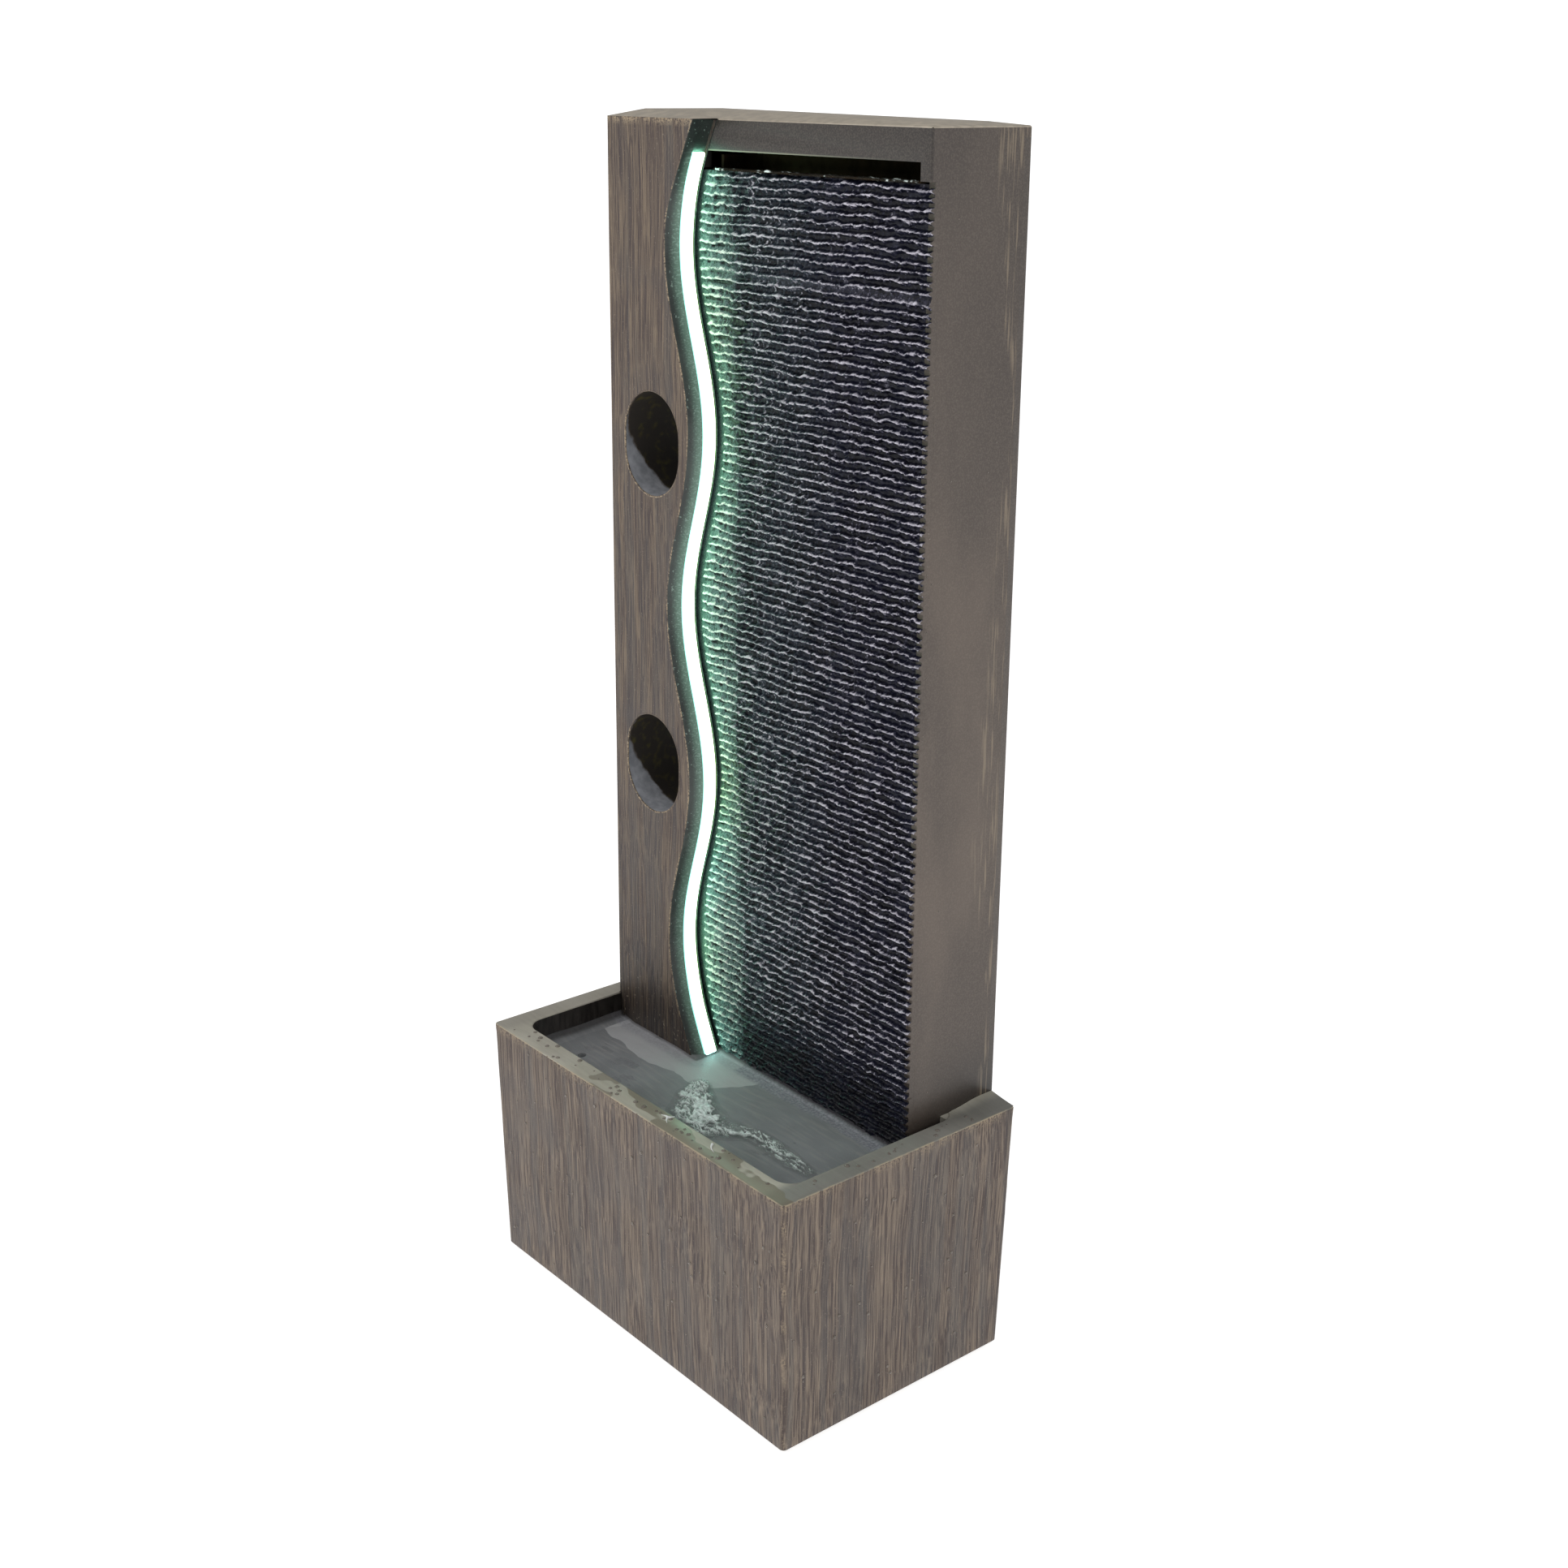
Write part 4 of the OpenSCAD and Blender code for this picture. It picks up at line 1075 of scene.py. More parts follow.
def dress(piece: Piece, finish: Any, where: Test | None = None) -> None:
    """Gives a piece a finish, all over or on the faces that pass a test.

    Args:
        piece: The piece to dress.
        finish: A finish with a name and a build method.
        where: Picks faces by their middle and normal. With none, the whole piece is dressed.
    """
    material = bpy.data.materials.get(finish.name) or finish.build()
    if where is None:
        piece.data.materials.clear()
    piece.data.materials.append(material)
    index = len(piece.data.materials) - 1
    for face in piece.data.polygons if where else ():
        if where(face.center, face.normal):
            face.material_index = index


def finish_piece(piece: Piece, slot: str | None, *nodes: str, body: str = "root") -> None:
    """Puts a finished piece on its body, hides the CAD nodes that it replaces and reports it.

    Args:
        piece: The piece.
        slot: Not used.
        nodes: The CAD nodes that it replaces.
        body: The CAD body it moves with.
    """
    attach(piece, body)
    if nodes:
        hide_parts(*nodes)
    log.info("%s: %d faces on %s", piece.name, len(piece.data.polygons), body)


# ---- The fountain's sub-assemblies ----

@dataclass
class Basin:
    """The leaning box that the tower stands in, with brushed walls and a flat rim."""

    half_w: float = 197.4 * MM
    half_d: float = 122.4 * MM
    foot: float = 0.05 * MM
    height: float = 219.85 * MM
    lean_w: float = 4.5 * MM
    lean_d: float = 6.0 * MM
    upright_r: float = 4.0 * MM
    rim_r: float = 1.3 * MM
    foot_r: float = 4.0 * MM
    opening_r: float = 1.4 * MM
    # The tray's opening in the rim: half its width, its front and its back
    opening: Spot = (179 * MM, -103 * MM, 76 * MM)
    columns: tuple[int, int] = (4, 96)
    side_columns: tuple[int, int] = (3, 78)
    rows: int = 27
    relief: float = 0.45 * MM
    hump_rise: float = 2.9 * MM
    grain: Grain = field(default_factory=lambda: Grain(11))

    def shell(self) -> Piece:
        """Models the outer shape by hand: a box, rounded, opened, cut into fine columns and closed.

        Returns:
            The block, upright still.
        """
        piece = block("basin_dressed", (-self.half_w, -self.half_d, self.foot),
                      (self.half_w, self.half_d, self.height))
        with editing(piece):
            round_off(piece, tall, self.upright_r, 4)
            round_off(piece, lambda a, b: max(a.z, b.z) < 10 * MM, self.foot_r, 2)
            round_off(piece, lambda a, b: min(a.z, b.z) > self.height - 0.1 * MM, self.rim_r, 3)
            open_ends(piece)
            cut_fine(piece, along(0), *self.columns)
            cut_fine(piece, along(1), *self.side_columns)
            cut_fine(piece, tall, self.rows)
            cap(piece, self.foot, self.height)
        return piece

    def marks(self, x: Array, y: Array, z: Array, front: Array) -> Array:
        """Returns the brush marks at each place, running along X where it is on the front or back."""
        return self.grain.at(np.where(front, x + np.where(y > 0, 0.7, 0), y + np.where(x > 0, 1.9, 3.3)), z)

    def weather(self, piece: Piece) -> None:
        """Leans the walls in at the foot and brushes their grain into them.

        Args:
            piece: The basin.
        """
        rows = points(piece)
        x, y, z = rows.T
        lean = np.clip(1 - z / self.height, 0, 1)
        x *= 1 - self.lean_w / self.half_w * lean
        y *= 1 - self.lean_d / self.half_d * lean
        front = np.abs(y) > self.half_d - 3 * MM
        side = np.abs(x) > self.half_w - 3 * MM
        wall = (z > 3 * MM) & (z < self.height - 0.3 * MM)
        fade = ramp(z, 3 * MM, 16 * MM) * ramp(self.height - z, 0.4 * MM, 3 * MM)
        mark = (1 - self.marks(x, y, z, front)) * self.relief * fade
        chip = self.grain.noise.layered((x + y) / (3 * MM), z / (3 * MM), 2)
        edge = (z > self.height - self.rim_r) * 0.22 * MM * ramp(chip, 0.5, 0.9)
        y -= np.sign(y) * np.where(front & wall, mark + edge, 0)
        x -= np.sign(x) * np.where(side & wall, mark + edge, 0)
        place_points(piece, rows)

    def colour(self, piece: Piece) -> None:
        """Stores the grain and the worn edges, and dresses the walls and the rim.

        Args:
            piece: The basin.
        """
        x, y, z = points(piece).T
        lean = np.clip(1 - z / self.height, 0, 1)
        front = np.abs(y) > self.half_d - self.lean_d * lean - 2.5 * MM
        paint(piece, "grain", self.marks(x / (1 - self.lean_w / self.half_w * lean),
                                         y / (1 - self.lean_d / self.half_d * lean), z, front))
        uneven = self.grain.noise.layered((x + y) / (7 * MM), z / (7 * MM), 3)
        top = ramp(z, self.height - 2.2 * MM, self.height - 0.2 * MM)
        outside = np.maximum(np.abs(x) - (self.half_w - 1.6 * MM), np.abs(y) - (self.half_d - 1.6 * MM))
        corner = ((self.half_w - np.abs(x)) < 3.5 * MM + self.lean_w * lean) & \
            ((self.half_d - np.abs(y)) < 3.5 * MM + self.lean_d * lean)
        wear = top * (outside > 0.4 * MM) * ramp(uneven, 0.25, 0.55) + corner * ramp(uneven, 0.45, 0.7) * 0.5
        paint(piece, "wear", np.clip(wear, 0, 1))
        half, low, high = self.opening
        dress(piece, BrushedResin())
        dress(piece, WetRimResin(), lambda at, n: at.z > 0.21 and n.z > 0.5)
        dress(piece, Moulded("dark brushed resin in the tray", "#242120", "#3b3734", rough=0.45, grit=420,
                             stretch=(1, 1, 0.15), lift=0.5),
              lambda at, n: 0.19 < at.z and n.z < 0.5 and abs(at.x) < half and low < at.y < high)
        dress(piece, Moulded("bare grey cast resin", "#4d4946", "#625c57", rough=0.75),
              lambda at, n: at.z < 0.19 and abs(at.x) < self.half_w - 8 * MM
              and abs(at.y) < self.half_d - 8 * MM)

    def hump(self) -> Piece:
        """Models the fillet that ramps from the rim up to the tower's right side.

        Returns:
            The fillet, a closed piece.
        """
        piece = sheet("rim_hump", (169.9 * MM, 64 * MM), (195 * MM, 122.2 * MM), (16, 36), self.height)
        rows = points(piece)
        x, y, z = rows.T
        rise = self.hump_rise * ramp(y, 78 * MM, 108 * MM)
        across = np.clip((x - TOWER_RIGHT) / (24 * MM), 0, 1)
        z[:] = self.height - 0.3 * MM + rise * (1 - across) ** 1.3 + 0.5 * MM * (1 - across)
        z -= 10 * MM * (1 - ramp(y, 62 * MM, 78 * MM))
        place_points(piece, rows)
        close_sheet(piece, (1, 1, 0), (180 * MM, 100 * MM, self.height - 0.6 * MM))
        dress(piece, WetRimResin())
        smooth(piece, 50)
        return piece

    def opening_edge(self, a: Vector, b: Vector) -> bool:
        """Tells an edge of the tray's opening in the rim.

        Args:
            a: One end of the edge.
            b: Its other end.

        Returns:
            Whether it is one.
        """
        half, low, high = self.opening
        return (near(a.z, self.height, 0.005 * MM) and near(b.z, self.height, 0.005 * MM)
                and max(abs(a.x), abs(b.x)) < half and low < min(a.y, b.y) and max(a.y, b.y) < high)

    def build(self) -> None:
        """Builds the basin and its fillet."""
        piece = self.shell()
        self.weather(piece)
        work(piece, cad_copy("basin_shell", "basin_tool"), Cut.KEEP)
        with editing(piece):
            round_off(piece, self.opening_edge, self.opening_r, 3)
        self.colour(piece)
        smooth(piece, 40)
        finish_piece(piece, "resin_body", "basin_shell")
        finish_piece(self.hump(), "resin_body")


@dataclass
class Slab:
    """The wavy slab in front of the tower, with two windows."""

    foot: float = 195 * MM
    edge_r: float = 1.1 * MM
    columns: tuple[int, int] = (2, 66)
    rows: tuple[int, int] = (2, 60)
    relief: float = 0.4 * MM
    # How far the edge is set back in front of the strip, and where the strip's groove lies
    cut_back: float = 7.2 * MM
    strip_from: float = 9.9 * MM
    strip_to: float = 24.0 * MM
    groove: float = 3 * MM
    window_r: float = 36.5 * MM
    window_rise: float = 6.5 * MM
    # How much wider than the window its sleeve's seat is, and how deep it begins
    seat: float = 4.3 * MM
    seat_y: float = 8 * MM
    grain: Grain = field(default_factory=lambda: Grain(23))
    finish: BrushedResin = BrushedResin(
        name="brushed taupe painted cast resin with a damp foot", base="#665b51", groove="#403536",
        ridge="#867663", slate="#515354", damp_foot=0.262)

    def body(self) -> Piece:
        """Models a plain slab by hand, rounds its front corners and cuts it into fine columns.

        Returns:
            The slab, closed, with straight sides still.
        """
        piece = block("slab_dressed", (SLAB_LEFT, 0.05 * MM, self.foot),
                      (SLAB_LEFT + WAVE.width, TOWER_FACE, TOWER_TOP))
        with editing(piece):
            round_off(piece, lambda a, b: tall(a, b) and a.y < 1 * MM, self.edge_r, 3)
            open_ends(piece)
            for y in (self.strip_from, self.strip_to):
                bpy.ops.mesh.select_all(action="SELECT")
                bpy.ops.mesh.bisect(plane_co=(0, y, 0), plane_no=(0, 1, 0))
            pick(piece, lambda at, n: n.x > 0.9 and self.strip_from < at.y < self.strip_to, Parts.FACES)
            bpy.ops.mesh.extrude_region_move(TRANSFORM_OT_translate={"value": (-self.groove, 0, 0)})
            cut_fine(piece, lambda a, b: along(0)(a, b) and abs(a.x - b.x) > 4 * MM, *self.columns)
            cut_fine(piece, along(2), *self.rows)
            cap(piece, self.foot, TOWER_TOP)
        return piece

    def set_back(self, y: Array, z: Array) -> Array:
        """Returns how far the wavy edge is set back in front of the strip."""
        return self.cut_back * np.clip(1 - y / self.strip_from, 0, 1) * (1 - ramp(z, 900 * MM, 955 * MM))

    def weather(self, piece: Piece) -> None:
        """Bends the right side to the wave and brushes the grain into the front.

        Args:
            piece: The slab.
        """
        rows = points(piece)
        x, y, z = rows.T
        edge = WAVE.x(z) - self.set_back(y, z)
        bent = SLAB_LEFT + (x - SLAB_LEFT) * (edge - SLAB_LEFT) / WAVE.width
        mark = (1 - self.grain.at(bent, z)) * self.relief
        ends = ramp(bent - SLAB_LEFT, 0.2 * MM, 3 * MM) * ramp(edge - bent, 0.4 * MM, 3 * MM)
        chip = self.grain.noise.layered(bent / (2.5 * MM), z / (2.5 * MM), 2)
        arris = (x > SLAB_LEFT + WAVE.width - 2 * MM) * (y < 2 * MM)
        x[:] = bent - arris * 0.5 * MM * ramp(chip, 0.45, 0.9)
        y += np.where(y < 0.6 * MM, mark * ends + 0.03 * MM, 0)
        place_points(piece, rows)

    def stadium(self, middle: tuple[float, float], radius: float, y0: float) -> Piece:
        """Makes the solid that cuts a window: a rod, drawn out along its height.

        Args:
            middle: The window's middle in X and Z.
            radius: The radius of its round ends.
            y0: How deep the cut begins.

        Returns:
            The solid.
        """
        y1 = TOWER_FACE + 1 * MM
        piece = start("window_tool", Shape.ROD, vertices=96, radius=radius, depth=y1 - y0,
                      rotation=(math.pi / 2, 0, 0), location=(middle[0], (y0 + y1) / 2, middle[1]))
        rows = points(piece)
        rows[:, 2] += np.sign(rows[:, 2] - middle[1]) * self.window_rise
        place_points(piece, rows)
        return piece

    def colour(self, piece: Piece) -> None:
        """Stores the grain and the worn edges, and dresses the slab.

        Args:
            piece: The slab.
        """
        x, y, z = points(piece).T
        paint(piece, "grain", np.where(y < 3 * MM, self.grain.at(x, z), 0.45))
        uneven = self.grain.noise.layered(x / (6 * MM) + 3, z / (9 * MM), 3)
        side = WAVE.x(z) - self.set_back(y, z)
        edge = np.maximum(ramp(x - side, -1.8 * MM, -0.3 * MM), ramp(-(x - SLAB_LEFT), -1.6 * MM, -0.2 * MM))
        edge = np.maximum(edge, ramp(z, TOWER_TOP - 1.6 * MM, TOWER_TOP - 0.2 * MM)) * (y < 1.6 * MM)
        paint(piece, "wear", np.clip(edge * ramp(uneven, 0.3, 0.6), 0, 1))
        dress(piece, self.finish)
        dress(piece, StepWall(), lambda at, n: n.x > 0.35 and at.y > 0.7 * MM and at.x > -0.11)
        for middle in WINDOWS:
            dress(piece, SleeveLining(middle[1]), lambda at, n: abs(n.y) < 0.5 and at.y > 0.2 * MM
                  and math.hypot(at.x - middle[0], at.z - middle[1]) < 52 * MM and at.x < -0.085)

    def window_lip(self, number: int, middle: tuple[float, float]) -> Piece:
        """Models the worn lip round a window: a thin ring, drawn out to the window's shape.

        Args:
            number: Counts the windows from the top.
            middle: The window's middle in X and Z.

        Returns:
            The lip.
        """
        piece = start(f"window_lip_{number}", Shape.RING, major_segments=160, minor_segments=10,
                      major_radius=self.window_r + 0.45 * MM, minor_radius=0.8 * MM,
                      rotation=(math.pi / 2, 0, 0), location=(middle[0], 0.75 * MM, middle[1]))
        rows = points(piece)
        x, y, z = rows.T
        turn = np.arctan2(z - middle[1], x - middle[0])
        knock = self.grain.noise.sway(turn * 14 + 20 * number, y / (2 * MM), 3)
        z += np.sign(z - middle[1]) * self.window_rise
        away = rows - np.array([middle[0], 0.9 * MM, middle[1]])
        rows += away / np.linalg.norm(away, axis=1)[:, None] * (knock * 0.55 * MM)[:, None]
        rows[:, 1] = np.maximum(rows[:, 1], 0.02 * MM)
        place_points(piece, rows)
        side = np.cos(turn + math.radians(128))
        paint(piece, "wear", np.clip(ramp(side, -0.2, 0.55) * ramp(knock, -0.25, 0.1) + 0.12, 0, 1))
        paint(piece, "grain", 0.45 + knock)
        dress(piece, self.finish)
        smooth(piece, 60)
        return piece

    def build(self) -> None:
        """Builds the slab with its windows, the seats of their sleeves, and their lips."""
        piece = self.body()
        self.weather(piece)
        for middle in WINDOWS:
            work(piece, self.stadium(middle, self.window_r, -1 * MM), Cut.REMOVE)
            work(piece, self.stadium(middle, self.window_r + self.seat, self.seat_y), Cut.REMOVE)
        self.colour(piece)
        smooth(piece, 40)
        finish_piece(piece, "resin_body")
        for number, middle in enumerate(WINDOWS, 1):
            finish_piece(self.window_lip(number, middle), "resin_body")


@dataclass
class Tower:
    """The tower behind the slab: smooth side, lintel over the slot, and low crown."""

    slot_z: float = 947 * MM
    arris_r: float = 1.0 * MM
    # How much lower the crown is at the right, and the height and the rise it is measured on
    crown_drop: float = 3.2 * MM
    crown_from: float = 984.5 * MM
    crown_h: float = 5.5 * MM

    def build(self) -> None:
        """Builds the tower from its CAD solid, less the slab, with worn edges."""
        piece = cad_copy("tower_shell", "tower_dressed")
        for name, low, high, cut in (
                ("slab_tool", (SLAB_LEFT - 1 * MM, -1 * MM, 190 * MM),
                 (-55 * MM, TOWER_FACE - 0.02 * MM, 983.95 * MM), Cut.REMOVE),
                ("post", (TOWER_RIGHT - 6 * MM, 29 * MM, 196 * MM),
                 (TOWER_RIGHT - 0.04 * MM, 35 * MM, self.slot_z + 0.5 * MM), Cut.JOIN),
                ("slot_corner", (-86 * MM, 24 * MM, self.slot_z),
                 (-75.5 * MM, 33 * MM, self.slot_z + 13 * MM), Cut.REMOVE)):
            work(piece, block(name, low, high), cut)
        with editing(piece, Parts.POINTS):
            clean(piece, 0.005 * MM)
            round_off(piece, self.worn_edge, self.arris_r, 3)
        rows = points(piece)
        x, _, z = rows.T
        drop = self.crown_drop * ramp(x, -120 * MM, 150 * MM) * (z - self.crown_from) / self.crown_h
        z -= np.where(z > self.crown_from, drop, 0)
        place_points(piece, rows)
        dress(piece, SmoothResin())
        # Painted light: the top faces are painted paler, as they face the light
        dress(piece, Moulded("pale painted_top_light painted resin", "#a99f8f", "#c0b5a4", rough=0.5, grit=120),
              lambda at, n: n.z > 0.2 and at.z > 0.98)
        dress(piece, Moulded("shadowed bare resin", "#12110f", "#1c1a17", rough=0.7),
              lambda at, n: SLAB_LEFT + 5 * MM < at.x < TOWER_RIGHT - 5 * MM and 26 * MM < at.y < 115 * MM
              and at.z < 0.977)
        smooth(piece, 30)
        finish_piece(piece, "resin_body", "tower_shell")

    def worn_edge(self, a: Vector, b: Vector) -> bool:
        """Tells the tower's outer arrises and the lintel's lower edge from its other edges.

        Args:
            a: One end of the edge.
            b: Its other end.

        Returns:
            Whether it is one.
        """
        side, face, top, lintel = (
            near(a[axis], level, 0.1 * MM) and near(b[axis], level, 0.1 * MM)
            for axis, level in ((0, TOWER_RIGHT), (1, TOWER_FACE), (2, TOWER_TOP), (2, SLOT_TOP)))
        if side and (face or top):
            return True
        return face and (top and min(a.x, b.x) > -0.07 or lintel and abs(a.x - b.x) > 0.05)


@dataclass
class Cascade:
    """The ribbed wall: rough wavy ribs, with a green film by the light, partly the strip's light painted in,
    and threads of water beyond.
    """

    foot: float = 200 * MM
    top: float = 945.2 * MM
    count: int = 104
    back: float = 34 * MM
    depth: float = 4.7 * MM
    overlap: float = 4 * MM
    tuck: float = 4.2 * MM
    tuck_rows: int = 5
    columns: int = 330
    per_rib: int = 9
    panels: int = 4
    seam_z: float = 867 * MM
    threads_count: int = 62
    coarse: Noise = field(default_factory=lambda: Noise(5))
    fine: Noise = field(default_factory=lambda: Noise(6))

    @property
    def pitch(self) -> float:
        """Returns the height of one rib."""
        return (self.top - self.foot) / self.count

    def seams(self, z: Array) -> tuple[Array, Array]:
        """Finds the two seams in the running water.

        Args:
            z: Heights.

        Returns:
            X where the film ends, and X where the bare cells end.
        """
        sway = self.coarse.sway(z / (60 * MM), 9.5, 2) * 12 * MM
        kinks = [self.fine.sway(z / (6 * MM), at, 2) * 4.5 * MM for at in (4.5, 14.5)]
        fall = 945 * MM - z
        return -56 * MM + 0.024 * fall + sway + kinks[0], -34 * MM + 0.034 * fall + 0.6 * sway + kinks[1]

    def threads(self, x: Array, z: Array) -> Array:
        """Lays out the threads of water that run from rib to rib.

        Args:
            x: X of each place.
            z: Z of each place.

        Returns:
            How much of a thread runs there, from 0 to 1.
        """
        rng = np.random.default_rng(41)
        total = np.zeros_like(x)
        for number in range(self.threads_count):
            begin = rng.uniform(-36, 20 + 140 * rng.random()) * MM
            strength, width = rng.uniform(0.3, 0.66), rng.uniform(0.45, 0.75) * MM
            low, high = sorted(rng.uniform(0.2, 0.945, 2))
            drift = self.coarse.sway(z / (70 * MM), number * 3.7, 2) * 14 * MM
            kink = self.fine.sway(z / (5 * MM), number * 5.1, 2) * 4.5 * MM
            gate = ramp(self.fine.at(z / (13 * MM), number * 7.3 + 50), 0.4, 0.65)
            line = bell(x - begin - drift - kink, width)
            total = np.maximum(total, line * gate * strength * (z > low) * (z < high))
        for number, seam in enumerate(self.seams(z)):
            gate = ramp(self.fine.at(z / (11 * MM), number * 9.1 + 150), 0.2, 0.45)
            total = np.maximum(total, bell(x - seam, 0.85 * MM) * gate * 0.5)
        return total

    def relief(self, x: Array, z: Array) -> tuple[Array, Array, Array]:
        """Works out the wall's shape.

        Args:
            x: X of each place.
            z: Z of each place.

        Returns:
            How far each place stands out (1 is a crest's top), how pale it is, from limescale and
            painted highlights and shadows, and how green, from the film and the strip's painted light.
        """
        coarse, fine, cell, pitch = self.coarse.layered, self.fine.layered, self.fine.at, self.pitch
        # The ribs waver: each place is measured from the middle line of its rib
        up = z - self.foot + self.coarse.sway(x / (26 * MM), z / (19 * MM), 3) * 3.2 * MM
        rib = np.round(up / pitch - 0.5)
        up = up + self.fine.sway(x / (5.2 * MM), rib * 7.7, 3) * 2.9 * MM
        away = np.clip(up - (rib + 0.5) * pitch, -pitch / 2, pitch / 2)
        ridge = (0.5 + 0.5 * np.cos(2 * np.pi * away / pitch)) ** 2.2
        ridge *= 0.74 + 0.4 * coarse(x / (9 * MM), rib * 3.3, 2)
        # The pale line along a crest, partly limescale and partly a painted highlight, the fringe below it,
        # and what hangs, froths or is scoured there
        thick = (0.6 + 1.5 * coarse(x / (5 * MM) + 31, rib * 3.1, 2) ** 2) * MM
        line = away + self.fine.sway(x / (1.6 * MM) + 3, rib * 9.1, 2) * 1.1 * MM
        crest = bell(line, thick) * (0.48 + 0.8 * fine(x / (2.6 * MM) + 77, rib * 4.3, 2))
        skirt = bell(away + 1.9 * MM, 1.35 * MM) * ramp(cell(x / (2.3 * MM), rib * 5.9 + 11), 0.3, 0.85)
        wisps = ramp(cell(x / (1.3 * MM), z / (6.5 * MM) + rib * 0.37), 0.6, 0.95)
        bubbles = self.fine.sway(x / (1.9 * MM), z / (1.7 * MM), 2)
        fibre = self.fine.sway(x / (1.7 * MM), z / (5 * MM), 2)
        scales = fine(x / (5 * MM), z / (3.4 * MM), 3)
        # A painted shadow line under each crest in the film
        under = bell(away + 1.75 * MM, 0.85 * MM) * (0.35 + 0.65 * cell(x / (4 * MM) + 5, rib * 2.3))
        holes = ramp(cell(x / (5.2 * MM) + 19, rib * 6.1 + 7), 0.56, 0.7) * bell(away + 2.5 * MM, 1.5 * MM, 4)
        net = ramp(1 - np.abs(2 * cell(x / (7.5 * MM) + 3 + 0.1 * away / MM, rib * 4.9) - 1), 0.78, 0.97)

        # Three zones from left to right: the film, bare cells with a net of water, and the open wall
        beyond = x - WAVE.x(z)
        first, second = self.seams(z)
        ragged = (cell(rib * 0.83 + 3, 7.7) - 0.5) * 9 * MM
        ragged = ragged + (cell(x / (3 * MM), z / (2 * MM)) - 0.5) * 5 * MM
        film = 1 - ramp(x - first + ragged, -9 * MM, 7 * MM)
        cells = (1 - film) * (1 - ramp(x - second + ragged, -3 * MM, 3 * MM))
        open_wall = 1 - film - cells
        fade = 1 - ramp(x, second, second + 120 * MM)
        holes = holes * (0.3 + 0.7 * ramp(beyond, 5 * MM, 32 * MM))
        thin = ramp(x, first - 34 * MM, first + 3 * MM)
        filmed = 0.42 - 0.36 * thin + 0.5 * ridge + 0.2 * fibre - 0.5 * holes - 0.15 * under
        raised = film * filmed + (1 - film) * np.maximum(ridge, 0.3 * skirt)
        hanging = ramp(cell(x / (1.5 * MM) + 9, rib * 3.7 + 0.25 * away / MM), 0.35, 0.9)
        hanging = hanging * np.clip(1 + away / (3.6 * MM), 0, 1)
        fringe = 0.44 * skirt + (0.2 + 0.42 * fade) * wisps * (1 - ridge) + 0.34 * hanging * (1 - ridge)
        open_lime_and_highlight = np.maximum(crest, open_wall * fringe + cells * 0.55 * net * (1 - ridge))
        film_lime_highlight_and_shadow = (0.37 - 0.17 * thin + 0.85 * crest + 0.3 * (scales - 0.5) + 0.42 * fibre
                     - 0.36 * under - 0.8 * holes)
        lime_and_highlight = film * film_lime_highlight_and_shadow + (1 - film) * open_lime_and_highlight

        # Threads of water, the cast's seam, the smooth band beside the strip, and the right edge
        thread = self.threads(x, z)
        raised = np.maximum(raised, thread * (0.5 + bubbles))
        lime_and_highlight = np.maximum(lime_and_highlight, thread * (0.8 + bubbles))
        seam = bell(z - self.seam_z + 0.02 * (x - 0.05), 3.2 * MM)
        raised = raised * (1 - 0.6 * seam) + seam * 0.4
        lime_and_highlight = lime_and_highlight * (1 - 0.5 * seam) + seam * (0.1 + 0.26 * scales)
        gap = np.interp(z, np.array([200, 290, 360, 440, 520, 590, 740, 880, 945]) * MM,
                        np.array([3, 8.5, 5.5, 2.2, 5, 6.5, 5.2, 4.2, 4.5]) * MM)
        band = 1 - ramp(beyond - gap, -0.8 * MM, 0.8 * MM)
        raised = raised * (1 - band) + 0.2 * band
        lime_and_highlight = lime_and_highlight * (1 - band) + (0.38 + 0.2 * fibre) * band
        edge = 0.62 * ramp(x, TOWER_RIGHT - 2.2 * MM, TOWER_RIGHT - 0.6 * MM)
        lime_and_highlight = np.maximum(lime_and_highlight, edge * ramp(ridge, 0.05, 0.35))
        raised = raised + bubbles * (0.14 + 0.3 * raised) * (1 - band)
        wet = ramp(z, self.foot + 4 * MM, self.foot + 80 * MM)
        lime_and_highlight = lime_and_highlight * (1 - (1 - wet) * 0.8 * (1 - 0.7 * film))
        # How green each place is: the film, the cells, and the strip's light painted in on the open wall,
        # fading over 120 mm
        tint = np.clip(film + 0.3 * cells + 0.22 * open_wall * fade, 0, 1)
        return np.clip(raised, 0, 1.06), np.clip(lime_and_highlight + 0.2 * bubbles * (lime_and_highlight > 0.2), 0, 1.1), tint

    def panel(self, number: int, low: float, high: float, rise: int) -> Piece:
        """Models one part of the wall, as a grid pushed back between the crests.

        Args:
            number: Counts the panels from the foot.
            low: Its lowest Z.
            high: Its highest Z.
            rise: How many cells it is high.

        Returns:
            The panel, closed at the back.
        """
        piece = sheet(f"cascade_{number}", (-1, low), (0, high), (self.columns, rise), TOWER_FACE, True)
        rows = points(piece)
        x, y, z = rows.T
        edge = WAVE.x(z) - self.overlap
        x[:] = edge + (TOWER_RIGHT - edge) * (x + 1)
        height, lime_and_highlight, film = self.relief(x, z)
        y[:] = TOWER_FACE + 0.05 * MM + self.depth * (1 - np.clip(height, 0, 1))
        place_points(piece, rows)
        # Paleness, with its painted highlights and shadows, and the film's green, with the strip's painted
        # light
        paint(piece, "crest", lime_and_highlight)
        paint(piece, "film", film)
        dress(piece, CascadeResin())
        close_sheet(piece, (1, 0, 1), (0, self.back - 0.3 * MM, 0.5), outward=False)
        dress(piece, SmoothResin(), lambda at, n: n.x > 0.9 and at.x > TOWER_RIGHT - 0.1 * MM)
        smooth(piece, 66)
        return piece

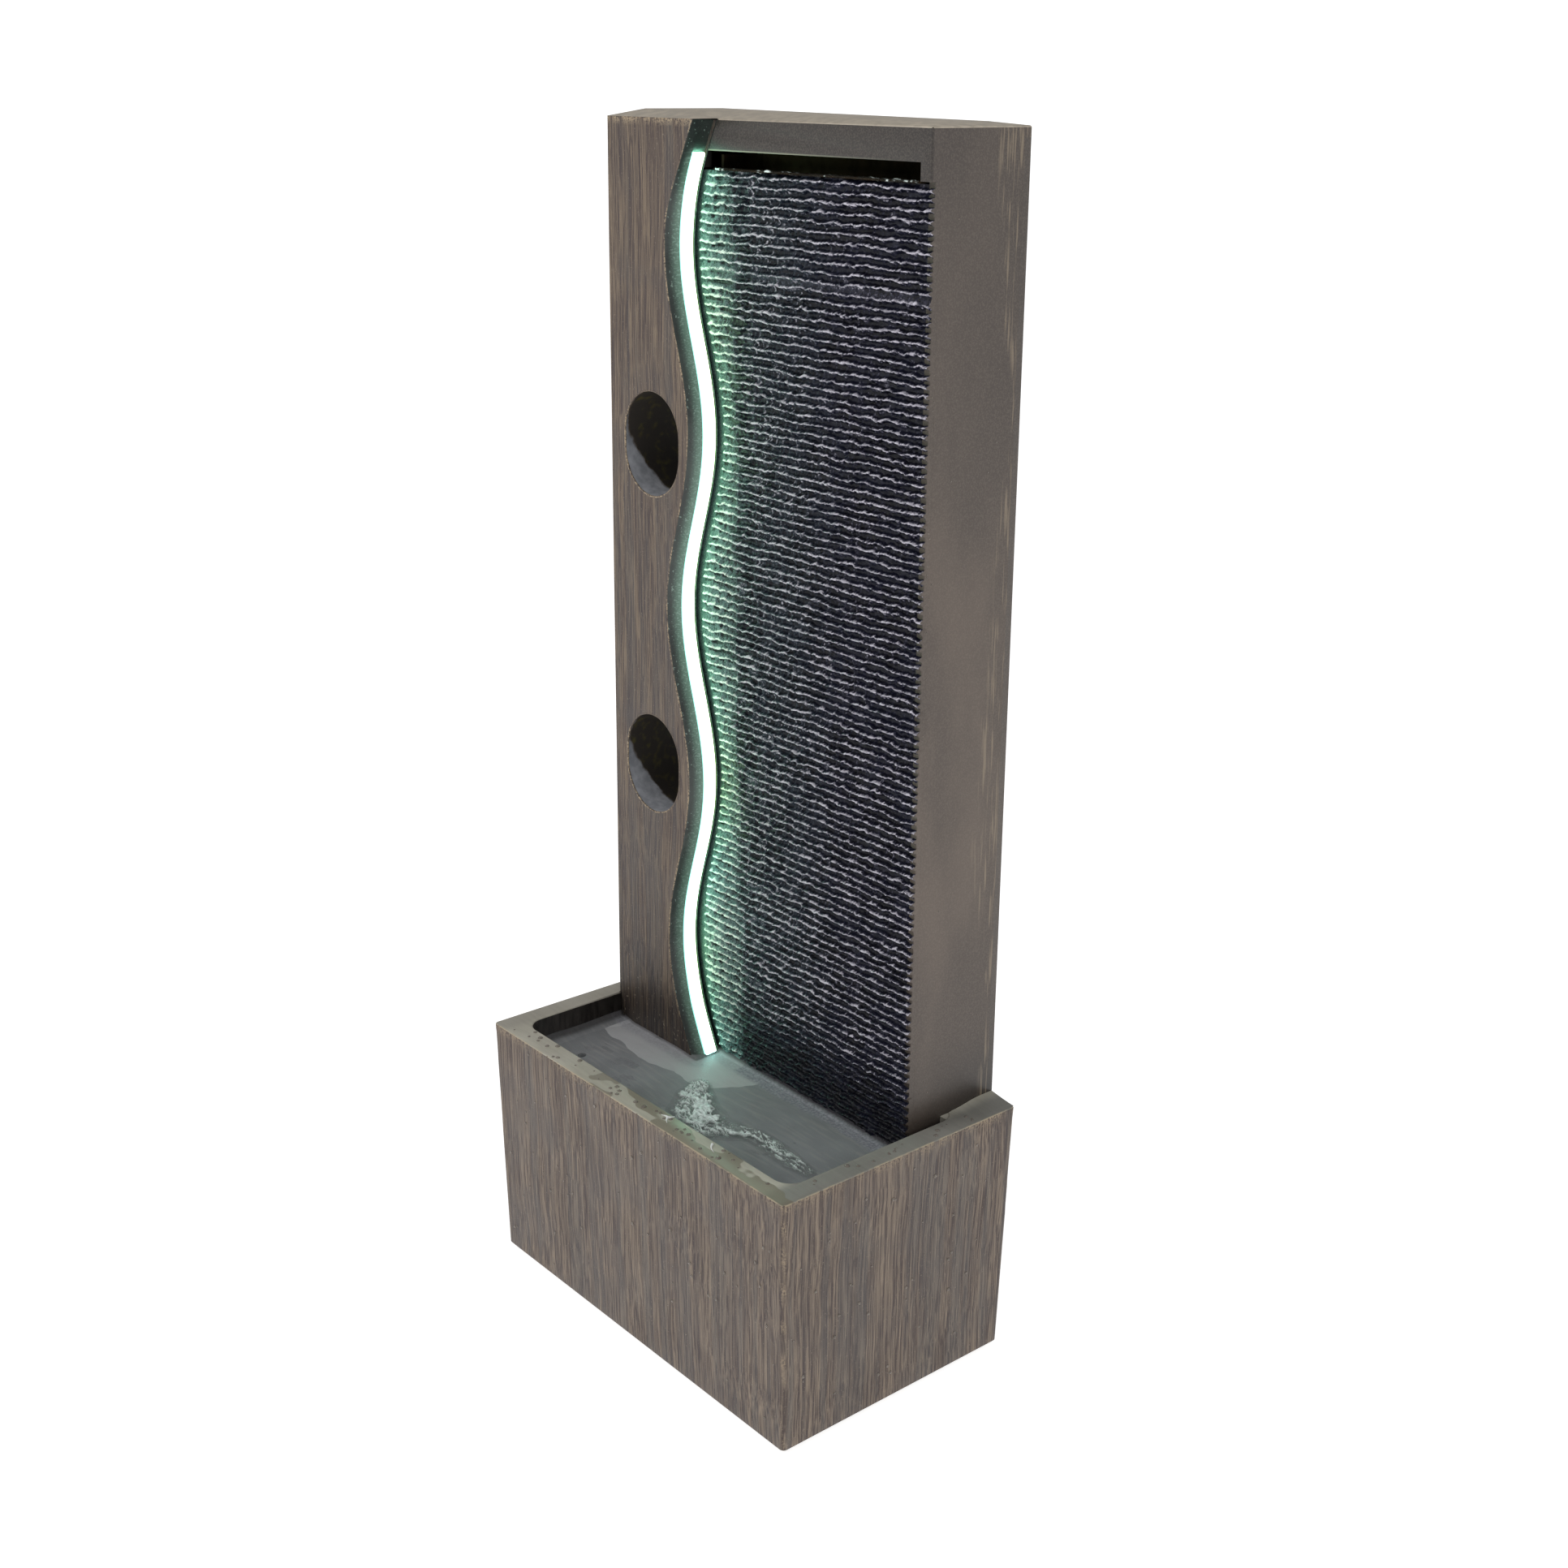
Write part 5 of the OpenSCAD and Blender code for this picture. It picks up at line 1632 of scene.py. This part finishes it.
    def build(self) -> None:
        """Builds the wall in equal panels, each light enough to keep its detail."""
        low, ribs = self.foot, self.count // self.panels
        for number in range(1, self.panels + 1):
            high, first = low + ribs * self.pitch, number == 1
            piece = self.panel(number, low - (self.tuck if first else 0), high,
                               ribs * self.per_rib + (self.tuck_rows if first else 0))
            finish_piece(piece, "resin_ribs", *(["ribbed_wall"] if first else []))
            low = high


@dataclass
class LightStrip:
    """The lit strip that lies in the slab's wavy edge."""

    foot: float = 196.4 * MM
    top: float = 958.6 * MM
    y0: float = 10.3 * MM
    y1: float = 23.6 * MM
    sunk: float = 2.6 * MM
    proud: float = 1.0 * MM
    side_r: float = 2.4 * MM
    top_r: float = 2.2 * MM
    rows: int = 151
    # Heights in mm, and how the tint drifts there: to yellow-green above 0 and to blue below it
    heights: tuple[int, ...] = (200, 240, 280, 330, 370, 440, 520, 700, 840, 900, 960)
    drift: tuple[float, ...] = (-0.8, -0.3, 0.5, -0.2, -0.6, 0.7, 0.0, 0.2, 0.5, -0.3, -0.4)

    def build(self) -> None:
        """Builds the strip from a rounded bar, bent to the wave."""
        piece = block("light_strip", (-self.sunk, self.y0, self.foot), (self.proud, self.y1, self.top))
        with editing(piece):
            round_off(piece, lambda a, b: tall(a, b) and a.x > 0, self.side_r, 5)
            round_off(piece, lambda a, b: min(a.z, b.z) > self.top - 0.1 * MM
                      and min(a.x, b.x) > -self.sunk + 0.1 * MM, self.top_r, 4)
            cut_fine(piece, tall, self.rows)
        rows = points(piece)
        x, y, z = rows.T
        paint(piece, "across", (y - (self.y0 + self.y1) / 2) / ((self.y1 - self.y0) / 2))
        paint(piece, "drift", np.interp(z / MM, self.heights, self.drift))
        x += WAVE.x(z)
        place_points(piece, rows)
        dress(piece, LitSilicone())
        smooth(piece, 50)
        finish_piece(piece, "light_diffuser", "led_diffuser", "led_end_caps")


@dataclass
class Tray:
    """The dished tray in front of the tower, with its drain."""

    low: tuple[float, float] = (-177.3 * MM, -101.3 * MM)
    high: tuple[float, float] = (177.3 * MM, 33 * MM)
    floor: float = 195.4 * MM
    base: float = 195.05 * MM
    corner_r: float = 15 * MM
    rim_fillet: float = 4 * MM
    foot_fillet: float = 2 * MM
    slab_right: float = -66 * MM
    drain: tuple[float, float] = (-137.5 * MM, -71 * MM)
    drain_r: float = 4 * MM
    cells: tuple[int, int] = (178, 68)
    noise: Noise = field(default_factory=lambda: Noise(71))

    def corner(self, x: Array, y: Array) -> tuple[Array, Array]:
        """Returns how far each place lies past the middle of a front corner's round, along X and Y."""
        return (np.maximum(0, np.abs(x) - (self.high[0] - self.corner_r)),
                np.maximum(0, -(y - self.low[1]) + self.corner_r))

    def edge_gap(self, x: Array, y: Array) -> tuple[Array, Array]:
        """Measures the tray's gaps to the walls around it.

        Args:
            x: X of each place.
            y: Y of each place.

        Returns:
            How far it lies from the rim's wall, and how far from the tower's foot.
        """
        cx, cy = self.corner(x, y)
        rim = np.where((cx > 0) & (cy > 0), self.corner_r - np.hypot(cx, cy),
                       np.minimum(self.high[0] - np.abs(x), y - self.low[1]))
        past = x - self.slab_right
        beside = np.hypot(np.maximum(0, past), np.maximum(0, -y)) + np.where(y < 0, 0, past)
        return rim, np.where(past < 0, -y, np.minimum(TOWER_FACE - y, beside))

    def fillet(self, gap: Array, radius: float) -> Array:
        """Returns the rise of a round fillet beside a wall."""
        inside = np.clip(radius - gap, 0, radius)
        return radius - np.sqrt(np.maximum(0, radius * radius - inside * inside))

    def level(self, x: Array, y: Array) -> Array:
        """Works out the dished floor.

        Args:
            x: X of each place.
            y: Y of each place.

        Returns:
            Its height there.
        """
        rim, foot = self.edge_gap(x, y)
        uneven = self.noise.sway(x / (24 * MM), y / (24 * MM), 3)
        strokes = self.noise.sway(x / (14 * MM) + 40, y / (2.2 * MM), 2)
        dish = 0.8 * MM * (1 - ramp(foot, 4 * MM, 36 * MM)) + 2.6 * MM * (1 - ramp(rim, 0, 22 * MM))
        rise = np.maximum(self.fillet(rim, self.rim_fillet), self.fillet(foot, self.foot_fillet))
        return self.floor + dish + rise + uneven * 1.3 * MM + strokes * 0.3 * MM

    def lining(self) -> Piece:
        """Models the lining as a grid, drawn in at the front corners, dished, closed and drilled.

        Returns:
            The lining.
        """
        piece = sheet("tray_lining", self.low, self.high, self.cells, self.floor)
        rows = points(piece)
        x, y, z = rows.T
        cx, cy = self.corner(x, y)
        out = np.hypot(cx, cy)
        pull = np.where((cx > 0) & (cy > 0) & (out > self.corner_r),
                        self.corner_r / np.maximum(out, 1e-9), 1.0)
        x[:] = np.sign(x) * (np.abs(x) - cx * (1 - pull))
        y += cy * (1 - pull)
        z[:] = self.level(x, y)
        place_points(piece, rows)
        close_sheet(piece, (1, 1, 0), (0, 0, self.base))
        drill = start("drain_tool", Shape.ROD, vertices=40, radius=self.drain_r, depth=0.05,
                      location=(*self.drain, self.floor))
        work(piece, drill, Cut.REMOVE, exact=True)
        return piece

    def build(self) -> None:
        """Builds the lining of the tray, over the CAD's flat tray."""
        piece = self.lining()
        x, y, _ = points(piece).T
        rim, foot = self.edge_gap(x, y)
        bay = self.noise.sway(x / (30 * MM) + 12, y / (30 * MM) + 5, 3)
        lamp = (np.hypot((x + 60 * MM) / 60, (y - 6 * MM) / 37) / MM - 1) * 42 * MM
        front = 31 * MM - foot + 20 * MM * bay
        dry = np.where(x < -60 * MM, front, -lamp + 18 * MM * bay)
        paint(piece, "dry", ramp(dry, -2.5 * MM, 2.5 * MM) * ramp(rim, 9 * MM, 14 * MM))
        fillet = (1 - ramp(foot + 6 * MM * bay, 9 * MM, 15 * MM)) * np.where(x < -30 * MM, 0.45, 1)
        paint(piece, "fillet", fillet)
        shade = (1 - ramp(foot, 0.4 * MM, 2.2 * MM)) * 0.7
        shade += (1 - ramp(rim, 1 * MM, 7 * MM)) * (x < 0) * (y > -98 * MM) * 0.75
        paint(piece, "shade", np.clip(shade, 0, 1))
        dress(piece, TrayResin())
        smooth(piece, 60)
        finish_piece(piece, "resin_tray")


@dataclass
class Water:
    """The pool in the tray, its splash, the wet lip of the slot and scattered beads."""

    level: float = 196.7 * MM
    tray: Tray = field(default_factory=Tray)
    noise: Noise = field(default_factory=lambda: Noise(90))
    # The splash, from where the water lands to where it dies out: X, Y and half width, in mm
    run: tuple[Spot, ...] = ((-27, -27, 9), (-14, -42, 15), (6, -58, 20), (32, -66, 20), (50, -56, 14),
                             (70, -45, 9), (98, -46, 9.5), (122, -49, 9), (141, -50, 6))
    # Painted glints on the rim, drawn as white curls: X, Y and length in mm, and the turn about Z
    curls: tuple[tuple[float, ...], ...] = ((36, -107, 8, -70), (36, -107, 6, 165), (36, -107, 5, 35),
                                            (92, -106, 11, -62))
    painted_glint_z: float = 220.3 * MM
    # Beads on the basin's front, on its right side, on the rim and on the tower's side
    bead_counts: tuple[int, ...] = (70, 46, 60, 52)

    def along_run(self, x: Array, y: Array) -> tuple[Array, Array, Array]:
        """Finds each place's spot on the splash.

        Args:
            x: X of each place.
            y: Y of each place.

        Returns:
            How strong the splash is there, how far along it the place lies in metres, and how
            far to its side.
        """
        best, walked = np.full_like(x, 9.0), 0.0
        far, side = np.zeros_like(x), np.zeros_like(x)
        for (ax, ay, ar), (bx, by, br) in zip(self.run, self.run[1:]):
            dx, dy = (bx - ax) * MM, (by - ay) * MM
            length = math.hypot(dx, dy)
            px, py = x - ax * MM, y - ay * MM
            t = np.clip((px * dx + py * dy) / length ** 2, 0, 1)
            gap = np.hypot(px - t * dx, py - t * dy)
            share = gap / ((ar + (br - ar) * t) * MM)
            nearer = share < best
            best = np.where(nearer, share, best)
            far = np.where(nearer, walked + t * length, far)
            side = np.where(nearer, (px * dy - py * dx) / length, side)
            walked += length
        return 1 - ramp(best, 0.35, 1.25), far, side

    def pool(self) -> Piece:
        """Models the thin pool as a sheet with ripples, which ends where the tray rises.

        Returns:
            The pool.
        """
        low, high = self.tray.low, self.tray.high
        piece = sheet("pool", (low[0] + 1 * MM, low[1] + 1 * MM), (high[0] - 1 * MM, 24 * MM), (180, 64),
                      self.level)
        rows = points(piece)
        x, y, _ = rows.T
        strength, _, _ = self.along_run(x, y)
        swell = self.noise.sway(x / (22 * MM), y / (12 * MM), 2)
        chop = self.noise.sway(x / (7 * MM), y / (4.5 * MM), 3)
        rows[:, 2] = self.level + (swell * 0.4 + chop * (0.1 + 1.2 * strength)) * MM
        place_points(piece, rows)
        dress(piece, ClearWater())
        smooth(piece)
        with editing(piece):
            pick(piece, lambda at, n: self.tray.level(np.array([at.x]), np.array([at.y]))[0]
                 > self.level + 1.0 * MM, Parts.FACES)
            bpy.ops.mesh.delete(type="FACE")
        return piece

    def splash(self) -> Piece:
        """Models the splash as a fine sheet of ropes and curls of white water, open between them: the white
        is partly foam and partly painted reflections of the lit ribs.

        Returns:
            The splash.
        """
        piece = sheet("splash", (-42 * MM, -94 * MM), (150 * MM, -18 * MM), (330, 132), self.level)
        rows = points(piece)
        x, y, _ = rows.T
        strength, far, side = self.along_run(x, y)
        bend = self.noise.sway(x / (9 * MM) + 5, y / (9 * MM), 2)
        spread = side / (1 + 9 * far / 0.2 * (far < 0.07))
        ropes = self.noise.layered(spread / (2.1 * MM) + 3.4 * bend, far / (13 * MM) + 9, 2)
        curls = self.noise.layered(x / (6.5 * MM) + 3 * bend, y / (3.2 * MM) + 40, 2)
        lines = np.maximum(1 - np.abs(2 * ropes - 1) * 3.4, 0.95 - np.abs(2 * curls - 1) * 4)
        broken = ramp(self.noise.at(x / (7 * MM) + 90, y / (5 * MM)), 0.2, 0.6)
        fan = 1 - ramp(far, 58 * MM, 85 * MM)
        # How white each place is: foam where the water lands, painted reflections of the lit ribs along the
        # trail, and painted glints in the flecks
        foam = 0.14 + 0.22 * fan + 1.15 * ramp(lines, 0.1, 0.9) * (0.4 + 0.6 * broken)
        foam = foam * strength * (0.85 + 0.4 * fan)
        flecks = ramp(self.noise.at(x / (1.6 * MM) + 7, y / (1.6 * MM) + 70), 0.88, 0.95)
        foam = np.clip(np.maximum(foam, 0.8 * flecks * ramp(strength, 0.02, 0.3)), 0, 1)
        floor = np.maximum(self.tray.level(x, y), self.level)
        crests = 0.25 + 2.3 * foam * ramp(lines, 0.2, 1.0) + 1.6 * strength * np.maximum(0, curls - 0.4)
        rows[:, 2] = floor + crests * MM
        place_points(piece, rows)
        paint(piece, "foam", foam)
        dress(piece, ClearWater())
        smooth(piece)
        wet = foam + strength > 0.03
        with editing(piece, Parts.FACES):
            shape = bmesh.from_edit_mesh(piece.data)
            for face in shape.faces:
                face.select_set(not any(wet[corner.index] for corner in face.verts))
            bmesh.update_edit_mesh(piece.data)
            bpy.ops.mesh.delete(type="FACE")
        return piece

    def lip(self) -> Piece:
        """Models the roll of water on the slot's lower lip, with painted glints along it.

        Returns:
            The roll.
        """
        piece = start("lip_water", Shape.ROD, vertices=12, radius=1.1 * MM, depth=228 * MM,
                      rotation=(0, math.pi / 2, 0), location=(42 * MM, 26.6 * MM, 946.6 * MM))
        with editing(piece):
            cut_fine(piece, lambda a, b: abs(a.x - b.x) > 0.1, 151)
        rows = points(piece)
        x, y, z = rows.T
        z += (self.noise.layered(x / (6 * MM), 0.0, 3) - 0.55) * 1.8 * MM
        y += self.noise.sway(x / (5 * MM) + 60, 0.0, 3) * 1.4 * MM
        place_points(piece, rows)
        # Painted glints: white specks along the roll, laid in the foam attribute
        glints = ramp(self.noise.at(x / (2.3 * MM) + 30, y / (1.4 * MM)), 0.6, 0.8)
        paint(piece, "foam", glints * ramp(self.noise.at(x / (19 * MM) + 60, 0.0), 0.25, 0.6))
        dress(piece, ClearWater())
        smooth(piece, 60)
        return piece

    def painted_glint(self, at: Spot, length: float, turn: float) -> Piece:
        """Models a painted glint on the rim, where curling water catches the light: a white tapered bar, bent
        and laid flat.

        Args:
            at: Where its thick end lies.
            length: Its length.
            turn: Its turn about Z, in degrees.

        Returns:
            The curl.
        """
        piece = start("rim_painted_glint", Shape.CONE, vertices=8, radius1=1.1 * MM, radius2=0.2 * MM, depth=length,
                      rotation=(0, math.pi / 2, 0), location=(length / 2, 0, 0))
        with editing(piece):
            cut_fine(piece, lambda a, b: abs(a.x - b.x) > 1 * MM, 11)
        rows = points(piece)
        rows[:, 1] += 0.55 * rows[:, 0] ** 2 / length
        place_points(piece, rows)
        piece.data.transform(Matrix.Translation(at) @ Matrix.Rotation(math.radians(turn), 4, "Z"))
        dress(piece, Moulded("white glint of water", "#fbfdfc", "#ffffff", rough=0.1))
        smooth(piece, 60)
        return piece

    def bead_spots(self) -> list[tuple[Spot, Spot, float]]:
        """Chooses where the beads sit.

        Returns:
            Each bead's place, the way it faces, and its radius.
        """
        rng = np.random.default_rng(8)
        spots: list[tuple[Spot, Spot, float]] = []
        on_front, on_side, on_rim, on_tower = self.bead_counts
        for _ in range(on_front):
            z = rng.uniform(12, 212) * MM
            lean = 6 * MM * (1 - z / 0.22)
            at = (rng.uniform(-188, 188) * MM, -122.2 * MM + lean, z)
            spots.append((at, (0, -1, 0), rng.uniform(0.7, 1.9) * MM))
        for _ in range(on_side):
            z = rng.uniform(20, 214) * MM
            lean = 4.5 * MM * (1 - z / 0.22)
            at = (197.2 * MM - lean, rng.uniform(-112, 114) * MM, z)
            spots.append((at, (1, 0, 0), rng.uniform(0.7, 1.8) * MM))
        for _ in range(on_rim):
            front = rng.random() < 0.6
            x = rng.uniform(-180, 190) if front else rng.uniform(180, 194)
            y = rng.uniform(-119, -104) if front else rng.uniform(-115, 100)
            spots.append(((x * MM, y * MM, 219.8 * MM), (0, 0, 1), rng.uniform(0.7, 2.4) * MM))
        for number in range(on_tower):
            beside_ribs = number < 30
            y = rng.uniform(31, 34) if beside_ribs else rng.uniform(36, 110)
            z = rng.uniform(520, 830) if beside_ribs else rng.uniform(240, 960)
            spots.append(((TOWER_RIGHT, y * MM, z * MM), (1, 0, 0), rng.uniform(0.35, 0.8) * MM))
        return spots

    def beads(self) -> Piece:
        """Models one bead by hand, then copies it to every spot and joins the copies.

        Returns:
            All the beads, as one piece.
        """
        pattern = start("bead_pattern", Shape.BALL, segments=10, ring_count=7, radius=1)
        with editing(pattern, Parts.POINTS):
            bpy.ops.mesh.select_all(action="SELECT")
            bpy.ops.transform.resize(value=(1, 1, 0.55))
        copies = []
        for at, facing, radius in self.bead_spots():
            copy = bpy.data.objects.new("bead", pattern.data.copy())
            bpy.context.scene.collection.objects.link(copy)
            turn = Vector((0, 0, 1)).rotation_difference(Vector(facing)).to_matrix().to_4x4()
            stretch = Matrix.Diagonal((radius, radius, radius * (1.3 if facing[2] == 0 else 1), 1))
            copy.data.transform(Matrix.Translation(at) @ turn @ stretch)
            copies.append(copy)
        bpy.data.objects.remove(pattern)
        take(copies[0])
        for copy in copies:
            copy.select_set(True)
        bpy.ops.object.join()
        piece = settle(bpy.context.object, "water_beads")
        low, high = (np.array(corner, float) for corner in CAD_BOX)
        place_points(piece, np.clip(points(piece), low + 1e-5, high - 1e-5))
        dress(piece, Droplet())
        smooth(piece)
        return piece

    def build(self) -> None:
        """Builds all the water that shows."""
        curls = [self.painted_glint((x * MM, y * MM, self.painted_glint_z), length * MM, turn)
                 for x, y, length, turn in self.curls]
        for piece in (self.pool(), self.splash(), self.lip(), self.beads(), *curls):
            finish_piece(piece, None)


@dataclass
class CarriedParts:
    """The CAD nodes whose shape is right, each with the finish of its own stock."""

    black: Moulded = Moulded("black moulded polypropylene", "#141516", "#202224")
    rubber: Moulded = Moulded("black moulded rubber", "#0f0f0f", "#191919", rough=0.8, grit=900)
    steel: Moulded = Moulded("plain stainless steel", "#a5a6a6", "#c4c5c4", rough=0.3, metal=1.0, grit=400,
                             stretch=(1, 1, 12))
    blacks: tuple[str, ...] = ("inlet_fitting", "inlet_nut", "junction_box", "junction_lid", "outlet_nozzle",
                               "pump_housing", "motor_cap", "volute_cover", "strainer_cover")
    rubbers: tuple[str, ...] = ("supply_grommet", "tray_grommet", "shaft_bushes", "suction_cups",
                                "door_gasket", "drain_plug")
    steels: tuple[str, ...] = ("panel_screws", "hose_clamps", "door_hinge_pin", "striker_discs")

    def singles(self) -> dict[str, Any]:
        """Returns the finish of each node that has one to itself, or shares it with one other."""
        return {
            "catch_tray": TrayResin(),
            "back_panel": SmoothResin("taupe painted panel", "#5a534e", "#4a4441", "#675f58", False),
            "access_door": SmoothResin("taupe painted door", "#5d5651", "#4a4441", "#675f58", False),
            "spill_trough": WetTrough(),
            "window_sleeve_upper": SleeveLining(WINDOWS[0][1]),
            "window_sleeve_lower": SleeveLining(WINDOWS[1][1]),
            "led_board": Moulded("white solder-masked laminate", "#dcdcd2", "#efefe6", rough=0.4),
            "driver_board": Moulded("green solder-masked laminate", "#255a35", "#33703f", rough=0.35,
                                    grit=250),
            "led_chips": Moulded("yellow phosphor resin", "#e3cf6a", "#f5e9a0", rough=0.3),
            "led_lead": Moulded("white extruded jacket", "#dedede", "#f0f0f0", rough=0.4),
            "pump_lead": Moulded("black extruded jacket", "#0d0d0d", "#1a1a1a", rough=0.55),
            "riser_hose": Moulded("smoky soft hose", "#2b3236", "#434c50", rough=0.25, alpha=0.85),
            "stator_core": Moulded("stamped core iron", "#5a5b5d", "#7d7f82", rough=0.45,
                                   metal=0.9, stretch=(1, 9, 1)),
            "catch_magnets": Moulded("nickel plated magnet", "#8d8e90", "#a9abad", rough=0.3, metal=1.0),
            "stator_coils": Moulded("enamelled copper wire", "#8c4621", "#c4743a", rough=0.3, metal=0.8,
                                    grit=1200, stretch=(1, 1, 0.1), lift=0.5),
            "impeller_shaft": Moulded("ground white ceramic", "#d8d8d3", "#ecece8", rough=0.25),
            "impeller": Moulded("cream moulded nylon", "#b9b4a3", "#d2cdbd", rough=0.45),
            "filter_sponge": Moulded("blue open-cell foam", "#16202f", "#33475f", rough=0.95, grit=900,
                                     lift=1.0),
            "flow_dial": Moulded("orange moulded nylon", "#b85a26", "#d06d34", rough=0.4),
        }

    def build(self) -> None:
        """Dresses each node."""
        finishes = self.singles()
        for finish, nodes in ((self.black, self.blacks), (self.rubber, self.rubbers),
                              (self.steel, self.steels)):
            finishes.update(dict.fromkeys(nodes, finish))
        for node, finish in finishes.items():
            dress(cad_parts[node], finish)
        log.info("%d carried nodes dressed", len(finishes))


# ---- The studio ----

@dataclass
class Studio:
    """Pale floor, soft lights and the camera of the photograph."""

    eye: Spot = (1220.35 * MM, -985.57 * MM, 1017.56 * MM)
    azimuth: float = 49.64
    elevation: float = 16.46
    roll: float = 0.63
    focal_px: float = 2535.0
    frame_px: float = 1932.0
    centre_px: tuple[float, float] = (980.0, 840.0)
    sensor: float = 36.0
    # The white room's light, on the object and as the camera sees it
    ambient: float = 0.42
    backdrop: float = 1.25
    floor_glow: float = 0.72
    # Each lamp: where it hangs, what it points at, its side in metres and its power in watts
    key: tuple[Any, ...] = ((-1.2, -2.6, 2.4), (0, 0, 0.5), 1.8, 32)
    side: tuple[Any, ...] = ((2.6, 0.2, 1.6), (0.1, 0, 0.5), 1.6, 13)

    def camera(self) -> None:
        """Places the camera where the photograph was taken from."""
        az, el, roll = (math.radians(v) for v in (self.azimuth, self.elevation, self.roll))
        back = Vector((math.sin(az) * math.cos(el), -math.cos(az) * math.cos(el), math.sin(el)))
        right = Vector((math.cos(az), math.sin(az), 0))
        up = back.cross(right)
        across = math.cos(roll) * right + math.sin(roll) * up
        above = -math.sin(roll) * right + math.cos(roll) * up
        data = bpy.data.cameras.new("photo_camera")
        data.sensor_width, data.sensor_fit = self.sensor, "HORIZONTAL"
        data.lens = self.focal_px * self.sensor / self.frame_px
        data.shift_x = 0.5 - self.centre_px[0] / self.frame_px
        data.shift_y = self.centre_px[1] / self.frame_px - 0.5
        camera = bpy.data.objects.new("photo_camera", data)
        bpy.context.scene.collection.objects.link(camera)
        turn = Matrix((across, above, back)).transposed().to_4x4()
        camera.matrix_world = Matrix.Translation(self.eye) @ turn
        bpy.context.scene.camera = camera

    def lamp(self, name: str, at: Spot, aim: Spot, size: float, power: float) -> None:
        """Adds one soft square lamp.

        Args:
            name: Its name.
            at: Where it hangs.
            aim: What it points at.
            size: Its side, in metres.
            power: Its power, in watts.
        """
        data = bpy.data.lights.new(name, "AREA")
        data.size, data.energy = size, power
        lamp = bpy.data.objects.new(name, data)
        bpy.context.scene.collection.objects.link(lamp)
        lamp.location = at
        lamp.rotation_euler = (Vector(aim) - Vector(at)).to_track_quat("-Z", "Y").to_euler()

    def floor(self) -> None:
        """Lays the pale floor."""
        piece = start("floor", Shape.PLANE, size=40, location=(0, 0, -0.5 * MM))
        look = Surface("white studio floor")
        piece.data.materials.append(look.finish((0.9, 0.9, 0.9, 1), 0.9, Emission_Color=(1, 1, 1, 1),
                                                Emission_Strength=self.floor_glow))

    def room(self) -> None:
        """Lights the object with a white room, which the camera sees brighter than the object does."""
        bpy.context.scene.view_settings.view_transform = "Standard"
        world = bpy.data.worlds.new("white room")
        bpy.context.scene.world = world
        world.use_nodes = True
        tree = world.node_tree
        tree.nodes.clear()
        seen = add(tree, "LightPath", out="Is Camera Ray")
        strength = add(tree, "Mix", {0: seen, 2: self.ambient, 3: self.backdrop}, data_type="FLOAT")
        add(tree, "OutputWorld", (add(tree, "Background", ((1, 1, 1, 1), strength)),))

    def build(self) -> None:
        """Builds the studio."""
        self.room()
        self.lamp("key", *self.key)
        self.lamp("side", *self.side)
        self.floor()
        self.camera()


def main() -> None:
    """Builds the studio and the fountain, in order."""
    logging.basicConfig(level=logging.INFO, format="%(name)s: %(message)s")
    for part in (Studio(), Basin(), Slab(), Tower(), Cascade(), LightStrip(), Tray(), Water(),
                 CarriedParts()):
        part.build()


if __name__ == "__main__":
    main()
